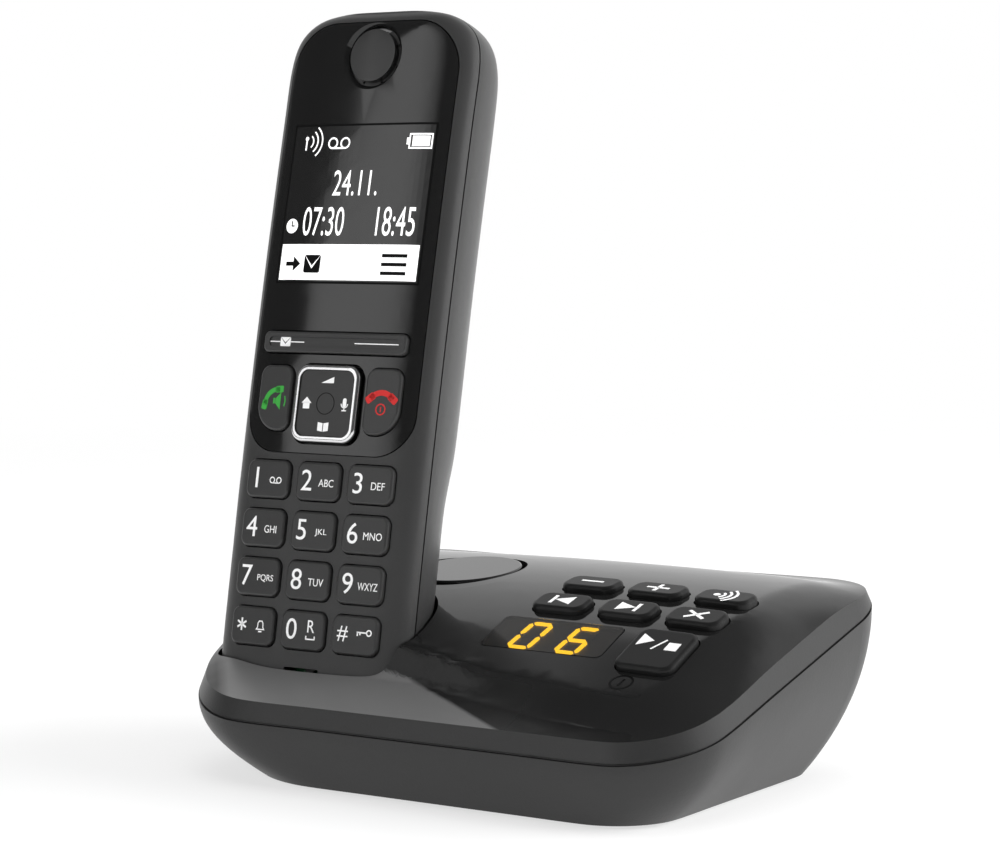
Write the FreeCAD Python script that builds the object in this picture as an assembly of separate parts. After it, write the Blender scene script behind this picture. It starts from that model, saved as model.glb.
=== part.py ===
import FreeCAD, Part
import math
import os

V = FreeCAD.Vector

# All sizes are in millimetres. +Z is up, the front faces -Y, and the origin lies on the
# resting plane under the middle of the base station.

# base station: plan outline at the seam between lower housing and top cover
seam_length = 132.6          # left to right
seam_depth = 95.3            # front to back
seam_corner = 19.0           # plan radius of three corners
cradle_corner_x = 28.5       # the corner under the handset is a quarter ellipse
cradle_corner_y = 38.0
# base station: plan outline at the foot
foot_left = -49.3
foot_right = 55.7
foot_front = -44.15
foot_back = 33.65
foot_corner = 14.0
foot_cradle_corner = 27.5
# base station: heights
foot_z = 0.8                 # underside, above the rubber feet
seam_front_z = 13.2          # seam height at the front edge
seam_slope = 0.262           # rise of the seam per mm towards the back
band_height = 4.0            # textured band above the seam
band_grow = 0.0125           # growth of the band per mm towards the back
band_end_y = 15.65           # behind this line the band narrows again
band_curl = 0.00415
wall_lean = 0.395            # inward lean of the cover wall per mm of height
wall = 2.4
reveal = 0.5                 # groove at the seam
# crest line of the top cover: straight slope, then two gentle arcs
crest_bend_y = -20.35
crest_bend_z = 32.2
crest_mid_y = 3.65
crest_slope_front = 0.4515
crest_slope_mid = 0.167
crest_slope_back = -0.167
crest_drop = 1.45            # fall of the crest towards both ends
apron_edge_z = 17.6          # lower apron in front of the cradle
apron_slope = 0.264
apron_edge_y = -46.1
facet_edge_z = 17.5          # steeper facet right of the apron's crease
facet_slope = 0.45
facet_across = 0.053
facet_edge_x = 25.2
facet_edge_y = -46.2
rim_round_front = 8.0        # plan width of the rounding at the cover's edge
rim_round_back = 12.0
rim_power = 1.5
cover_skin = 2.4
grid_across = 2.6            # sampling of the cover's surface
grid_along = 1.9

# handset
lean = 11.6                  # degrees from upright
handset_x = -35.3
handset_y = -34.35
handset_z = 8.83
handset_length = 156.5
handset_half = 24.5          # half width
front_depth = 5.2            # from the face to the shell seam
face_arch = 0.000263         # the face bows backwards towards both ends
grip_depth = 24.0            # thickness at the keypad
pack_depth = 27.5            # thickness at the batteries and above
shell_wall = 2.0
back_wall = 2.6
panel_skin = 1.5
pocket_gap = 0.8
cup_wall = 1.5
rest_gap = 0.03
# keypad
key_pitch_w = 13.34
key_pitch_l = 10.5
key_rows_top = 53.5
key_w = 11.5
key_l = 8.2
key_rise = 0.8
key_gap = 0.25
key_travel = 0.5
mat_t = 5.2                  # depth of the dome sheet's face
board_t = 5.6                # depth of the circuit board's face
board_thick = 1.2
# base buttons
button_w = 12.6
button_d = 7.4
button_pitch = 15.82
button_rise = 1.5
button_gap = 0.3
button_travel = 0.8
button_reach = 6.0           # stem length under the surface
button_left_x = 15.85
button_rows_y = (-8.0, 3.15)
button_row_shift = 0.43      # the back row stands a little further right
play_x = 46.0
play_y = -21.4
play_w = 13.3
play_d = 14.3
button_round = 2.6
window_x = 20.4
window_y = -19.6
window_w = 28.9
window_d = 12.0
speaker_x = -21.0
speaker_y = 10.6
speaker_hole = 13.6
speaker_cap = 12.4
speaker_seat = 4.2           # depth of the loudspeaker's seat under the surface
window_thick = 0.8
window_ledge = 0.6           # width of the step that carries the window
# inside the base
screw_shank = 7.0
screw_grip = 4.5             # thread length in the cover's posts
post_radius = 3.0
base_board_w = 52.0
base_board_d = 50.0
base_board_thick = 1.6
board_tilt = 18.0
board_x = 29.7
board_y = -9.35
board_z = 25.6
board_posts = ((12.0, -25.0), (12.0, 8.0), (30.0, 10.0))
jack_x = 0.0
jack_bay_w = 38.0
jack_face_y = 35.5
foot_radius = 4.0
foot_height = 1.5            # rubber foot, partly sunk in the housing
screw_spots = ((-33.0, 22.0), (45.0, 24.0), (46.0, -33.0), (-2.5, -23.0))
foot_spots = ((-36.0, -22.0), (36.0, -37.0), (36.0, 26.0), (-42.0, 25.0))
contact_w = 8.0
contact_t = 9.5
digit_pitch = 11.25
digit_w = 5.6
digit_d = 10.0
digit_slant = 0.10
digit_shift = 0.3            # the digits sit a little up the slope
# handset face and inside
panel_half = 21.8
panel_low = 59.5
panel_high = 153.6
ear_at = 146.2
ear_disc = 5.8
ear_hole = 6.7
receiver_radius = 6.3
microphone_at = 13.7
softkey_w = 37.3
softkey_l = 4.6
softkey_at = 83.2
softkey_pivot = 3.6          # depth of the round rib that the bar rocks on
pad_at = 70.1
pad_size = 16.6
pad_frame = 1.1
pad_rise = 1.5
display_half = 18.8
display_low = 95.0
display_high = 132.0
display_t = 2.9
board_half = 20.5
board_low = 12.5
board_high = 138.0
pcb_posts = ((-17.0, 118.0), (17.0, 118.0), (-15.0, 32.0), (15.0, 32.0))
tray_half = 12.2
tray_low = 58.0
tray_high = 105.5
tray_t = 8.2
cell_radius = 5.2
cell_length = 43.5
ringer_at = 126.0


def smooth_step(value):
    share = min(1.0, max(0.0, value))
    return share * share * (3.0 - 2.0 * share)


def seam_z(y):
    return seam_front_z + seam_slope * (y + seam_depth / 2)


def band_z(y):
    """Height of the band's upper edge."""
    rise = band_height + band_grow * (y + seam_depth / 2)
    fall = band_curl * max(0.0, y - band_end_y) ** 2
    return seam_z(y) + rise - fall


def crest_z(y):
    ahead = y - crest_bend_y
    if ahead < 0:
        return crest_bend_z + crest_slope_front * ahead
    span = crest_mid_y - crest_bend_y
    if ahead < span:
        bend = (crest_slope_mid - crest_slope_front) / (2 * span)
        return crest_bend_z + crest_slope_front * ahead + bend * ahead ** 2
    mid_z = crest_bend_z + (crest_slope_front + crest_slope_mid) / 2 * span
    ahead = y - crest_mid_y
    span = seam_depth / 2 - crest_mid_y
    bend = (crest_slope_back - crest_slope_mid) / (2 * span)
    return mid_z + crest_slope_mid * ahead + bend * ahead ** 2


def main_surface(x, y):
    return crest_z(y) - crest_drop * (x / (seam_length / 2)) ** 2


def apron_surface(x, y):
    """Two facets that meet in a soft crease, and a lip towards the left end."""
    lip_rise = -45.3 - x
    lip = 0.09 * (lip_rise + math.hypot(lip_rise, 6.0))
    left = apron_edge_z + apron_slope * (y - apron_edge_y) + lip
    right = facet_edge_z + facet_slope * (y - facet_edge_y) + facet_across * (x - facet_edge_x)
    return 0.5 * (left + right + math.hypot(left - right, 0.8))


def fold_share(x, y):
    """0 on the apron, 1 on the main surface, with a narrow riser beside the cradle."""
    reach = 19.7 - x
    line_y = -36.0 + 0.14 * reach + 2.4 * (max(0.0, min(reach, 23.0)) / 23.0) ** 2
    half = 2.1 + 0.07 * max(0.0, x - 4.7)
    return smooth_step((y - line_y) / (2 * half) + 0.5)


def outline(share, inset):
    """Plan points of the base at a share of the way from the foot to the seam."""

    def mix(foot, seam):
        return foot + (seam - foot) * share

    left = mix(foot_left, -seam_length / 2) + inset
    right = mix(foot_right, seam_length / 2) - inset
    front = mix(foot_front, -seam_depth / 2) + inset
    back = mix(foot_back, seam_depth / 2) - inset
    round_x = mix(foot_corner, seam_corner) - inset
    cradle_x = mix(foot_cradle_corner, cradle_corner_x) - inset
    cradle_y = mix(foot_cradle_corner, cradle_corner_y) - inset
    corners = (
        (right - round_x, back - round_x, round_x, round_x, 0),
        (left + round_x, back - round_x, round_x, round_x, 90),
        (left + cradle_x, front + cradle_y, cradle_x, cradle_y, 180),
        (right - round_x, front + round_x, round_x, round_x, 270),
    )
    between = (5, 1, 5, 3)
    points = []
    for index, (cx, cy, rx, ry, start) in enumerate(corners):
        for step in range(10):
            angle = math.radians(start + 10 * step)
            points.append((cx + rx * math.cos(angle), cy + ry * math.sin(angle)))
        after = corners[(index + 1) % 4]
        angle = math.radians(after[4])
        end = (after[0] + after[2] * math.cos(angle), after[1] + after[3] * math.sin(angle))
        last = points[-1]
        for step in range(1, between[index] + 1):
            part = step / (between[index] + 1)
            points.append((last[0] + (end[0] - last[0]) * part, last[1] + (end[1] - last[1]) * part))
    return points


def closed_wire(points):
    curve = Part.BSplineCurve()
    curve.interpolate(Points=points, PeriodicFlag=True)
    return Part.Wire([curve.toShape()])


def plan_wire(share, inset, height):
    return closed_wire([V(x, y, height(y)) for x, y in outline(share, inset)])


def hull(inset, bottom, above=0.0):
    """Lower body of the base, bowed out like a boat between the foot and the seam."""
    wires = []
    for level in (0.0, 0.12, 0.3, 0.55, 0.8, 1.0):
        share = 1 - (1 - level) ** 2
        wires.append(plan_wire(share, inset, lambda y, n=level: bottom + n * (seam_z(y) - bottom)))
    if above:
        wires.append(plan_wire(1.0, inset, lambda y: seam_z(y) + above))
    return Part.makeLoft(wires, True, False)


def wall_block(inset, low, high):
    """Solid within the cover's wall, from low to high above the seam."""
    wires = []
    for level in sorted({low, max(low, 0.0), high}):
        lean_in = inset + wall_lean * max(0.0, level)
        wires.append(plan_wire(1.0, lean_in, lambda y, n=level: seam_z(y) + n))
    return Part.makeLoft(wires, True, True)


def edge_distance(x, y, loop):
    best = 1e9
    inside = False
    for (x0, y0), (x1, y1) in zip(loop, loop[1:] + loop[:1]):
        dx, dy = x1 - x0, y1 - y0
        part = ((x - x0) * dx + (y - y0) * dy) / (dx * dx + dy * dy)
        part = min(1.0, max(0.0, part))
        best = min(best, math.hypot(x - x0 - part * dx, y - y0 - part * dy))
        if (y0 > y) != (y1 > y) and x < x0 + (y - y0) * dx / dy:
            inside = not inside
    return best if inside else -best


def cover_height(x, y, loop):
    low = band_z(y)
    share = fold_share(x, y)
    full = apron_surface(x, y) * (1 - share) + main_surface(x, y) * share
    towards_right = smooth_step((x - 9.7) / 45.0)
    towards_back = smooth_step((y + 19.35) / 30.0)
    spread = rim_round_back - rim_round_front
    width = rim_round_back - spread * (1 - towards_right) * (1 - towards_back)
    part = edge_distance(x, y, loop) / width
    if part < 0:
        return low + (full - low) * rim_power * part
    return low + (full - low) * (1 - (1 - min(part, 1.0)) ** rim_power)


def under_cover():
    """Everything below the cover's outer surface."""
    loop = outline(1.0, wall_lean * band_height)
    margin = 3.0
    nx = int(round((seam_length + 2 * margin) / grid_across))
    ny = int(round((seam_depth + 2 * margin) / grid_along))
    rows = []
    for i in range(nx + 1):
        x = -seam_length / 2 - margin + (seam_length + 2 * margin) * i / nx
        row = []
        for j in range(ny + 1):
            y = -seam_depth / 2 - margin + (seam_depth + 2 * margin) * j / ny
            row.append(V(x, y, cover_height(x, y, loop)))
        rows.append(row)
    sheet = Part.BSplineSurface()
    sheet.interpolate(rows)
    return sheet.toShape().extrude(V(0, 0, -60))


def moved(shape, x, y, z):
    copy = shape.copy()
    copy.translate(V(x, y, z))
    return copy


def cover_frame(x, y):
    """Placement on the cover's main surface: X across, Y up the slope, Z out."""
    small = 0.5
    across = (main_surface(x + small, y) - main_surface(x - small, y)) / (2 * small)
    along = (main_surface(x, y + small) - main_surface(x, y - small)) / (2 * small)
    normal = V(-across, -along, 1).normalize()
    side = V(0, 1, 0).cross(normal).normalize()
    up = normal.cross(side)
    turn = FreeCAD.Rotation(side, up, normal, "ZXY")
    return FreeCAD.Placement(V(x, y, main_surface(x, y)), turn)


def placed(shape, placement):
    copy = shape.copy()
    copy.Placement = placement.multiply(copy.Placement)
    return copy


def rounded_block(width, depth, radius, low, high):
    """Upright block with rounded corners, centred on Z."""
    block = Part.makeBox(width, depth, high - low, V(-width / 2, -depth / 2, low))
    upright = [e for e in block.Edges if abs(e.Vertexes[0].Z - e.Vertexes[1].Z) > 0.5 * (high - low)]
    return block.makeFillet(radius, upright)


def soft_top(block, radius):
    """Rounds the edges of the highest face."""
    top = max(v.Z for v in block.Vertexes)
    edges = [e for e in block.Edges if all(abs(v.Z - top) < 1e-6 for v in e.Vertexes)]
    return block.makeFillet(radius, edges)


# handset, built upright: X across, Y from the face towards the back, Z along its length

def face_t(l):
    return face_arch * (l - 80.0) ** 2


def half_width(l):
    if l < 12:
        return 18.5 + 6.0 * (1 - (1 - l / 12) ** 2.6) ** (1 / 2.6)
    if l > 143:
        part = min(1.0, (l - 143) / 13.5)
        return 9.0 + 15.5 * (1 - part ** 2.4) ** (1 / 2.4)
    return handset_half


def front_t(l):
    if l < 5:
        return face_t(l) + 1.8 * (1 - math.sqrt(1 - (1 - l / 5) ** 2))
    if l > 151:
        part = min(1.0, (l - 151) / 5.5)
        return face_t(l) + 3.5 * (1 - math.sqrt(1 - part ** 2))
    return face_t(l)


def back_t(l):
    depth = grip_depth + (pack_depth - grip_depth) * smooth_step((l - 48) / 18)
    if l < 16:
        depth = 15.0 + 9.0 * (1 - (1 - l / 16) ** 2.2) ** (1 / 2.2)
    if l > 134:
        part = min(1.0, (l - 134) / 22.5)
        depth = 14.0 + (pack_depth - 14.0) * (1 - part ** 2.2) ** (1 / 2.2)
    return face_t(l) + depth


def back_at(w, l):
    """Depth of the handset's back beside its middle line."""
    seam = face_t(l) + front_depth
    return seam + (back_t(l) - seam) * (1 - (abs(w) / half_width(l)) ** 2.35) ** (1 / 2.35)


def section(l, inset):
    """Closed cross-section of the handset: flat crowned face, full rounded back."""
    half = half_width(l) - inset
    seam = face_t(l) + front_depth
    front = seam - front_t(l) - inset
    back = back_t(l) - seam - inset
    shares = (0.0, 0.25, 0.5, 0.68, 0.8, 0.89, 0.95, 0.985)
    face_side = [(half * s, seam - front * (1 - s ** 6) ** 0.5) for s in shares]
    back_side = [(half * s, seam + back * (1 - s ** 2.35) ** (1 / 2.35)) for s in shares]
    right = face_side + [(half, seam)] + back_side[::-1]
    left = [(-w, t) for w, t in right[-2:0:-1]]
    height = inset + l * (1 - 2 * inset / handset_length)
    return closed_wire([V(w, t, height) for w, t in right + left])


def body(inset, top=handset_length):
    stations = [0, 0.6, 2, 4.5, 9, 15, 30, 46, 54, 61, 68, 90, 115, 134, 143, 149, 152.5, 155, 156.2, 156.5]
    return Part.makeLoft([section(l, inset) for l in stations if l <= top], True, False, False, 3)


def before_seam(shift):
    """Block in front of the curved shell seam, shifted towards the back."""
    points = [V(-60, face_t(l) + front_depth + shift, l) for l in range(-20, 201, 20)]
    curve = Part.BSplineCurve()
    curve.interpolate(points)
    start, end = points[0], points[-1]
    corners = [end, V(-60, -40, end.z), V(-60, -40, start.z), start]
    edges = [curve.toShape()]
    edges += [Part.LineSegment(a, b).toShape() for a, b in zip(corners, corners[1:])]
    return Part.Face(Part.Wire(edges)).extrude(V(120, 0, 0))


def face_prism(points_radius, low_t, high_t):
    """Prism along the depth from corner points (w, l, radius)."""
    count = len(points_radius)
    edges = []
    starts = []
    for index in range(count):
        w, l, radius = points_radius[index]
        here = V(w, 0, l)
        back = V(points_radius[index - 1][0], 0, points_radius[index - 1][1]) - here
        ahead = V(points_radius[(index + 1) % count][0], 0, points_radius[(index + 1) % count][1]) - here
        turn = back.getAngle(ahead)
        cut = radius / math.tan(turn / 2)
        back.normalize()
        ahead.normalize()
        middle = (back + ahead).normalize()
        centre = here + middle * (radius / math.sin(turn / 2))
        starts.append((here + back * cut, centre - middle * radius, here + ahead * cut))
    for index, (first, mid, last) in enumerate(starts):
        edges.append(Part.Arc(first, mid, last).toShape())
        edges.append(Part.LineSegment(last, starts[(index + 1) % count][0]).toShape())
    prism = Part.Face(Part.Wire(edges)).extrude(V(0, high_t - low_t, 0))
    return moved(prism, 0, low_t, 0)


def corner_block(width, depth, corners, low, high):
    """Upright block with its own rounding at each corner, from the lower left one round."""
    signs = ((-1, -1), (1, -1), (1, 1), (-1, 1))
    points = [(x * width / 2, y * depth / 2, radius) for (x, y), radius in zip(signs, corners)]
    block = face_prism(points, -high, -low)
    block.rotate(V(0, 0, 0), V(1, 0, 0), -90)
    return block


def key_frame(w, l):
    """Placement on the handset's face: X across, Y along the length, Z out."""
    small = 0.2

    def t_at(wide, long):
        part = abs(wide) / handset_half
        return face_t(long) + front_depth * (1 - (1 - part ** 6) ** 0.5)

    across = (t_at(w + small, l) - t_at(w - small, l)) / (2 * small)
    along = (t_at(w, l + small) - t_at(w, l - small)) / (2 * small)
    normal = V(across, -1, along).normalize()
    side = V(1, 0, 0)
    side = (side - normal * side.dot(normal)).normalize()
    up = normal.cross(side)
    turn = FreeCAD.Rotation(side, up, normal, "ZXY")
    return FreeCAD.Placement(V(w, t_at(w, l), l), turn)


def to_world():
    turn = FreeCAD.Rotation(V(1, 0, 0), -lean)
    return FreeCAD.Placement(V(handset_x, handset_y, handset_z), turn)


def save(shape, name):
    if len(shape.Solids) == 1:
        shape = shape.Solids[0]
    shape.exportStep("parts/" + name + ".step")
    print(name, len(shape.Solids), shape.isValid(), round(shape.Volume, 1))


def save_handset(shape, name):
    save(placed(shape, to_world()), name)


def handset_keys():
    """Cutting prism and cap of every key on the handset, by name."""
    keys = {}
    names = ("1", "2", "3", "4", "5", "6", "7", "8", "9", "star", "0", "hash")
    for index, name in enumerate(names):
        w = (index % 3 - 1) * key_pitch_w
        l = key_rows_top - (index // 3) * key_pitch_l
        keys["key_" + name] = (w, l, key_w, key_l, (1.9, 1.9, 1.9, 1.9))
    keys["talk_key"] = (-14.1, 71.0, 8.8, 14.2, (5.6, 2.4, 2.4, 2.4))
    keys["end_key"] = (14.1, 71.0, 8.8, 14.2, (2.4, 5.6, 2.4, 2.4))
    return keys


def key_cap(w, l, width, length, corners):
    frame = key_frame(w, l)
    cap = soft_top(corner_block(width, length, corners, -2.6, key_rise), 0.6)
    skirt = corner_block(width + 1.0, length + 1.0, corners, -3.1, -2.55)
    stem_low = -(mat_t - frame.Base.y - key_travel - 0.15)
    stem = Part.makeCylinder(1.6, -3.0 - stem_low, V(0, 0, stem_low))
    return placed(cap.fuse([skirt, stem]).removeSplitter(), frame)


def key_hole(w, l, width, length, corners):
    grown = [radius + key_gap for radius in corners]
    hole = corner_block(width + 2 * key_gap, length + 2 * key_gap, grown, -4.0, 3.0)
    return placed(hole, key_frame(w, l))


os.makedirs("parts", exist_ok=True)
handset_place = to_world()

# shared shapes of the base
below = under_cover()
cover_outer = wall_block(0.0, reveal, 16.0).common(below)
lower_end = Part.makeBox(80, 80, 60, V(-40, -20, -15))
pocket = placed(body(-pocket_gap, 68).common(lower_end), handset_place)
cup = placed(body(-pocket_gap - cup_wall, 68).common(lower_end), handset_place)
cradle_space = placed(body(-0.3, 68).common(lower_end), handset_place)


def seat_block(width, depth, radius, x, y, low, high):
    return placed(rounded_block(width, depth, radius, low, high), cover_frame(x, y))


def button_spots():
    spots = {}
    names = (("previous", "next", "delete"), ("minus", "plus", "page"))
    for row, row_names in enumerate(names):
        for column, name in enumerate(row_names):
            x = button_left_x + column * button_pitch + button_row_shift * row
            spots["button_" + name] = (x, button_rows_y[row], button_w, button_d, button_round)
    spots["button_play"] = (play_x, play_y, play_w, play_d, button_round)
    return spots


def cover_slot(spot, low):
    x, y, width, depth, radius = spot
    grow = 2 * button_gap
    return seat_block(width + grow, depth + grow, radius + button_gap, x, y, low, 6.0)


def make_cover():
    cavity = wall_block(wall, -2.5, 16.0).common(moved(below, 0, 0, -cover_skin))
    shell = cover_outer.fuse([wall_block(0.6, 0.0, 1.2), wall_block(1.3, -1.8, 0.4)]).cut(cavity)
    speaker_frame = cover_frame(speaker_x, speaker_y)
    boss = placed(Part.makeCylinder(speaker_hole + 3.0, 8.0, V(0, 0, -speaker_seat)), speaker_frame)
    posts = [Part.makeCylinder(post_radius, 40, V(x, y, seam_z(y) - 1.0)) for x, y in screw_spots]
    posts = Part.makeCompound(posts)
    added = [
        cup.common(cover_outer.fuse(hull(wall + 0.4, foot_z + wall, 1.0))),
        boss.common(cover_outer),
        posts.common(moved(below, 0, 0, -1.0)),
    ]
    cuts = [pocket, placed(Part.makeCylinder(speaker_hole, 12.0, V(0, 0, -6.0)), speaker_frame)]
    cuts += [Part.makeCylinder(1.2, screw_grip + 0.8, V(x, y, seam_z(y) - 1.5)) for x, y in screw_spots]
    cuts += [cover_slot(spot, -8.0) for spot in button_spots().values()]
    cuts.append(seat_block(window_w, window_d, 1.6, window_x, window_y, -window_thick, 6.0))
    step = 2 * window_ledge
    cuts.append(seat_block(window_w - step, window_d - step, 1.0, window_x, window_y, -8.0, 6.0))
    for side in (-1, 1):
        cuts.append(contact_hole(side))
    cuts = cuts[0].fuse(cuts[1:])
    ribs = rest_ribs()
    return shell.fuse(added).cut(cuts).fuse(ribs)


def contact_hole(side):
    hole = Part.makeCylinder(1.75, 8.0, V(side * contact_w, contact_t, -6.0))
    return placed(hole, handset_place)


def rest_ribs():
    """Two ribs on the pocket's floor that carry the handset."""
    ribs = []
    for side in (-1, 1):
        rib = Part.makeBox(1.6, 5.0, 1.4, V(side * 13.0 - 0.8, 6.5, -1.4 - rest_gap))
        ribs.append(placed(rib, handset_place))
    return ribs


def make_lower():
    shell = hull(0.0, foot_z).cut(hull(wall, foot_z + wall, 1.0))
    shell = shell.cut(wall_block(1.2, -2.0, 1.5))
    bosses = []
    cuts = [cradle_space]
    for x, y in screw_spots:
        bosses.append(Part.makeCylinder(4.2, seam_z(y) - 1.0 - foot_z, V(x, y, foot_z)))
        shank = seam_z(y) - screw_shank - 1.0
        cuts.append(Part.makeCylinder(2.9, shank - foot_z + 1.0, V(x, y, foot_z - 1.0)))
        cuts.append(Part.makeCylinder(1.6, screw_shank + 1.0, V(x, y, shank - 0.5)))
    for x, y in board_posts:
        post = Part.makeCylinder(2.4, 40.0, V(x, y, foot_z + 0.5))
        bosses.append(post.cut(placed(Part.makeBox(200, 200, 80, V(-100, -100, -base_board_thick)), board_frame())))
    bay = Part.makeBox(jack_bay_w, 14.0, 19.0, V(jack_x - jack_bay_w / 2, 27.0, foot_z + 0.5))
    bosses.append(bay.common(hull(0.0, foot_z)))
    cuts.append(Part.makeBox(jack_bay_w - 5.0, 20.0, 12.5, V(jack_x - jack_bay_w / 2 + 2.5, jack_face_y, 5.2)))
    cuts.append(Part.makeBox(jack_bay_w - 5.0, 12.0, 12.5, V(jack_x - jack_bay_w / 2 + 2.5, 25.0, 5.2)))
    for x, y in foot_spots:
        cuts.append(Part.makeCylinder(foot_radius + 0.1, foot_height + 0.02, V(x, y, 0)))
    for index in range(7):
        vent = rounded_block(2.0, 18.0, 0.9, -2.0, 6.0)
        cuts.append(moved(vent, -12.0 + index * 5.0, -8.0, foot_z))
    tools = cuts[0].fuse(cuts[1:])
    return shell.fuse(bosses).common(hull(0.0, foot_z)).cut(tools)


def board_frame():
    """Base circuit board: X across, Y up the slope, Z out of its face."""
    turn = FreeCAD.Rotation(V(1, 0, 0), board_tilt)
    return FreeCAD.Placement(V(board_x, board_y, board_z), turn)


def below_board():
    return placed(Part.makeBox(300, 300, 100, V(-150, -150, -100)), board_frame())


def make_base_board():
    frame = board_frame()
    board = Part.makeBox(base_board_w, base_board_d, base_board_thick,
                         V(-base_board_w / 2, -base_board_d / 2, -base_board_thick))
    board = placed(board, frame)
    holes = [Part.makeCylinder(4.6, 60, V(x, y, 0)) for x, y in screw_spots]
    return board.cut(holes)


def make_button(spot):
    x, y, width, depth, radius = spot
    cap = soft_top(rounded_block(width, depth, radius, -3.0, button_rise), 0.9)
    skirt = rounded_block(width + 1.4, depth + 1.4, radius, -4.4, -3.4)
    neck = rounded_block(width, depth, radius, -3.5, -2.9)
    stem = Part.makeCylinder(1.8, button_reach - 4.0, V(0, 0, -button_reach))
    return placed(cap.fuse([neck, skirt, stem]).removeSplitter(), cover_frame(x, y))


def make_switches():
    """Switch under each button, standing on the board, its plunger just under the stem."""
    pieces = []
    for x, y, _, _, _ in button_spots().values():
        frame = cover_frame(x, y)
        plunger = Part.makeCylinder(1.6, 1.6, V(0, 0, -button_reach - button_travel - 0.05 - 1.6))
        case = rounded_block(6.0, 6.0, 0.6, -button_reach - 12.0, -button_reach - 2.2)
        pieces.append(placed(case.fuse(plunger), frame).cut(below_board()))
    return Part.makeCompound(pieces)


def below_cover(shape, x, y):
    return placed(shape, cover_frame(x, y))


def make_speaker():
    """Loudspeaker under the round opening: basket, magnet and cone."""
    seat = -speaker_seat
    flange = Part.makeCylinder(speaker_hole + 1.8, 1.2, V(0, 0, seat - 1.2))
    opening = Part.makeCylinder(speaker_hole - 1.8, 1.2, V(0, 0, seat - 1.2))
    basket = Part.makeCone(8.0, speaker_hole + 0.2, 5.0, V(0, 0, seat - 6.2))
    hollow = Part.makeCone(7.0, speaker_hole - 1.8, 5.0, V(0, 0, seat - 6.2))
    magnet = Part.makeCylinder(9.5, 4.5, V(0, 0, seat - 10.6))
    frame = flange.cut(opening).fuse([basket.cut(hollow), magnet]).removeSplitter()
    cone = Part.makeCone(5.0, speaker_hole - 3.6, 3.4, V(0, 0, seat - 4.6))
    cone = cone.cut(Part.makeCone(4.2, speaker_hole - 4.4, 3.4, V(0, 0, seat - 4.1)))
    surround = Part.makeTorus(speaker_hole - 3.1, 1.0, V(0, 0, seat - 0.9))
    return frame, cone.fuse(surround)


def make_speaker_cap():
    """Round cap over the loudspeaker, level with the cover, on three legs."""
    cap = soft_top(Part.makeCylinder(speaker_cap, 1.6, V(0, 0, -1.7)), 0.5)
    legs = []
    for index in range(3):
        angle = math.radians(90 + 120 * index)
        w = (speaker_hole - 1.2) * math.cos(angle)
        d = (speaker_hole - 1.2) * math.sin(angle)
        legs.append(Part.makeCylinder(1.0, speaker_seat - 1.0, V(w, d, -speaker_seat)))
    return cap.fuse(legs).removeSplitter()


def make_digits():
    """Seven-segment block under the window: a case with raised digit bars."""
    face = -window_thick - 0.5
    case = rounded_block(window_w - 2.0, window_d - 1.6, 0.6, -9.0, face)
    frame = cover_frame(window_x, window_y)
    bars = []
    for place in (-digit_pitch / 2, digit_pitch / 2):
        for w, d, flat in digit_bars():
            size = (digit_w - 1.4, 0.9) if flat else (0.9, digit_d / 2 - 1.4)
            shift = digit_slant * d
            bar = rounded_block(size[0], size[1], 0.3, face, face + 0.3)
            bars.append(moved(bar, place + w + shift, d + digit_shift, 0))
    block = placed(case, frame).cut(below_board())
    return block, placed(Part.makeCompound(bars), frame)


def digit_bars():
    """Centres of the seven bars of one digit and whether each lies flat."""
    half_w = digit_w / 2 - 0.45
    half_d = digit_d / 2 - 0.45
    flat = [(0.0, d, True) for d in (half_d, 0.0, -half_d)]
    upright = [(w, d, False) for w in (-half_w, half_w) for d in (half_d / 2, -half_d / 2)]
    return flat + upright


def make_jacks():
    """Line socket with a square mouth and power socket with a round pin."""
    line = Part.makeBox(13.0, 13.5, 12.4, V(jack_x - 15.5, jack_face_y - 13.5, 5.25))
    mouth = Part.makeBox(9.8, 11.0, 6.8, V(jack_x - 13.9, jack_face_y - 10.9, 7.6))
    latch = Part.makeBox(4.4, 11.0, 2.4, V(jack_x - 11.2, jack_face_y - 10.9, 14.3))
    line = line.cut(mouth.fuse(latch))
    power = Part.makeBox(11.0, 13.5, 12.4, V(jack_x + 4.0, jack_face_y - 13.5, 5.25))
    bore = Part.makeCylinder(4.3, 10.0, V(jack_x + 9.5, jack_face_y - 9.9, 11.4), V(0, 1, 0))
    pin = Part.makeCylinder(1.0, 9.0, V(jack_x + 9.5, jack_face_y - 10.5, 11.4), V(0, 1, 0))
    return line, power.cut(bore).fuse(pin)


def make_base_contacts():
    """Two charging springs that reach through the pocket's floor."""
    springs = []
    for side in (-1, 1):
        pin = Part.makeCylinder(1.5, 2.6, V(side * contact_w, contact_t, -2.6 - rest_gap))
        plate = Part.makeBox(4.6, 6.0, 0.5, V(side * contact_w - 2.3, contact_t - 3.0, -3.0 - rest_gap))
        springs.append(placed(pin.fuse(plate), handset_place))
    return Part.makeCompound(springs)


def make_screws():
    screws = []
    for x, y in screw_spots:
        shank = seam_z(y) - screw_shank - 1.0
        head = Part.makeCylinder(2.6, 1.9, V(x, y, shank - 2.0))
        slot_a = Part.makeBox(3.0, 0.7, 1.0, V(x - 1.5, y - 0.35, shank - 2.0))
        slot_b = Part.makeBox(0.7, 3.0, 1.0, V(x - 0.35, y - 1.5, shank - 2.0))
        rod = Part.makeCylinder(1.15, screw_shank + screw_grip, V(x, y, shank - 0.2))
        screws.append(head.cut(slot_a.fuse(slot_b)).fuse(rod))
    return Part.makeCompound(screws)


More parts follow.
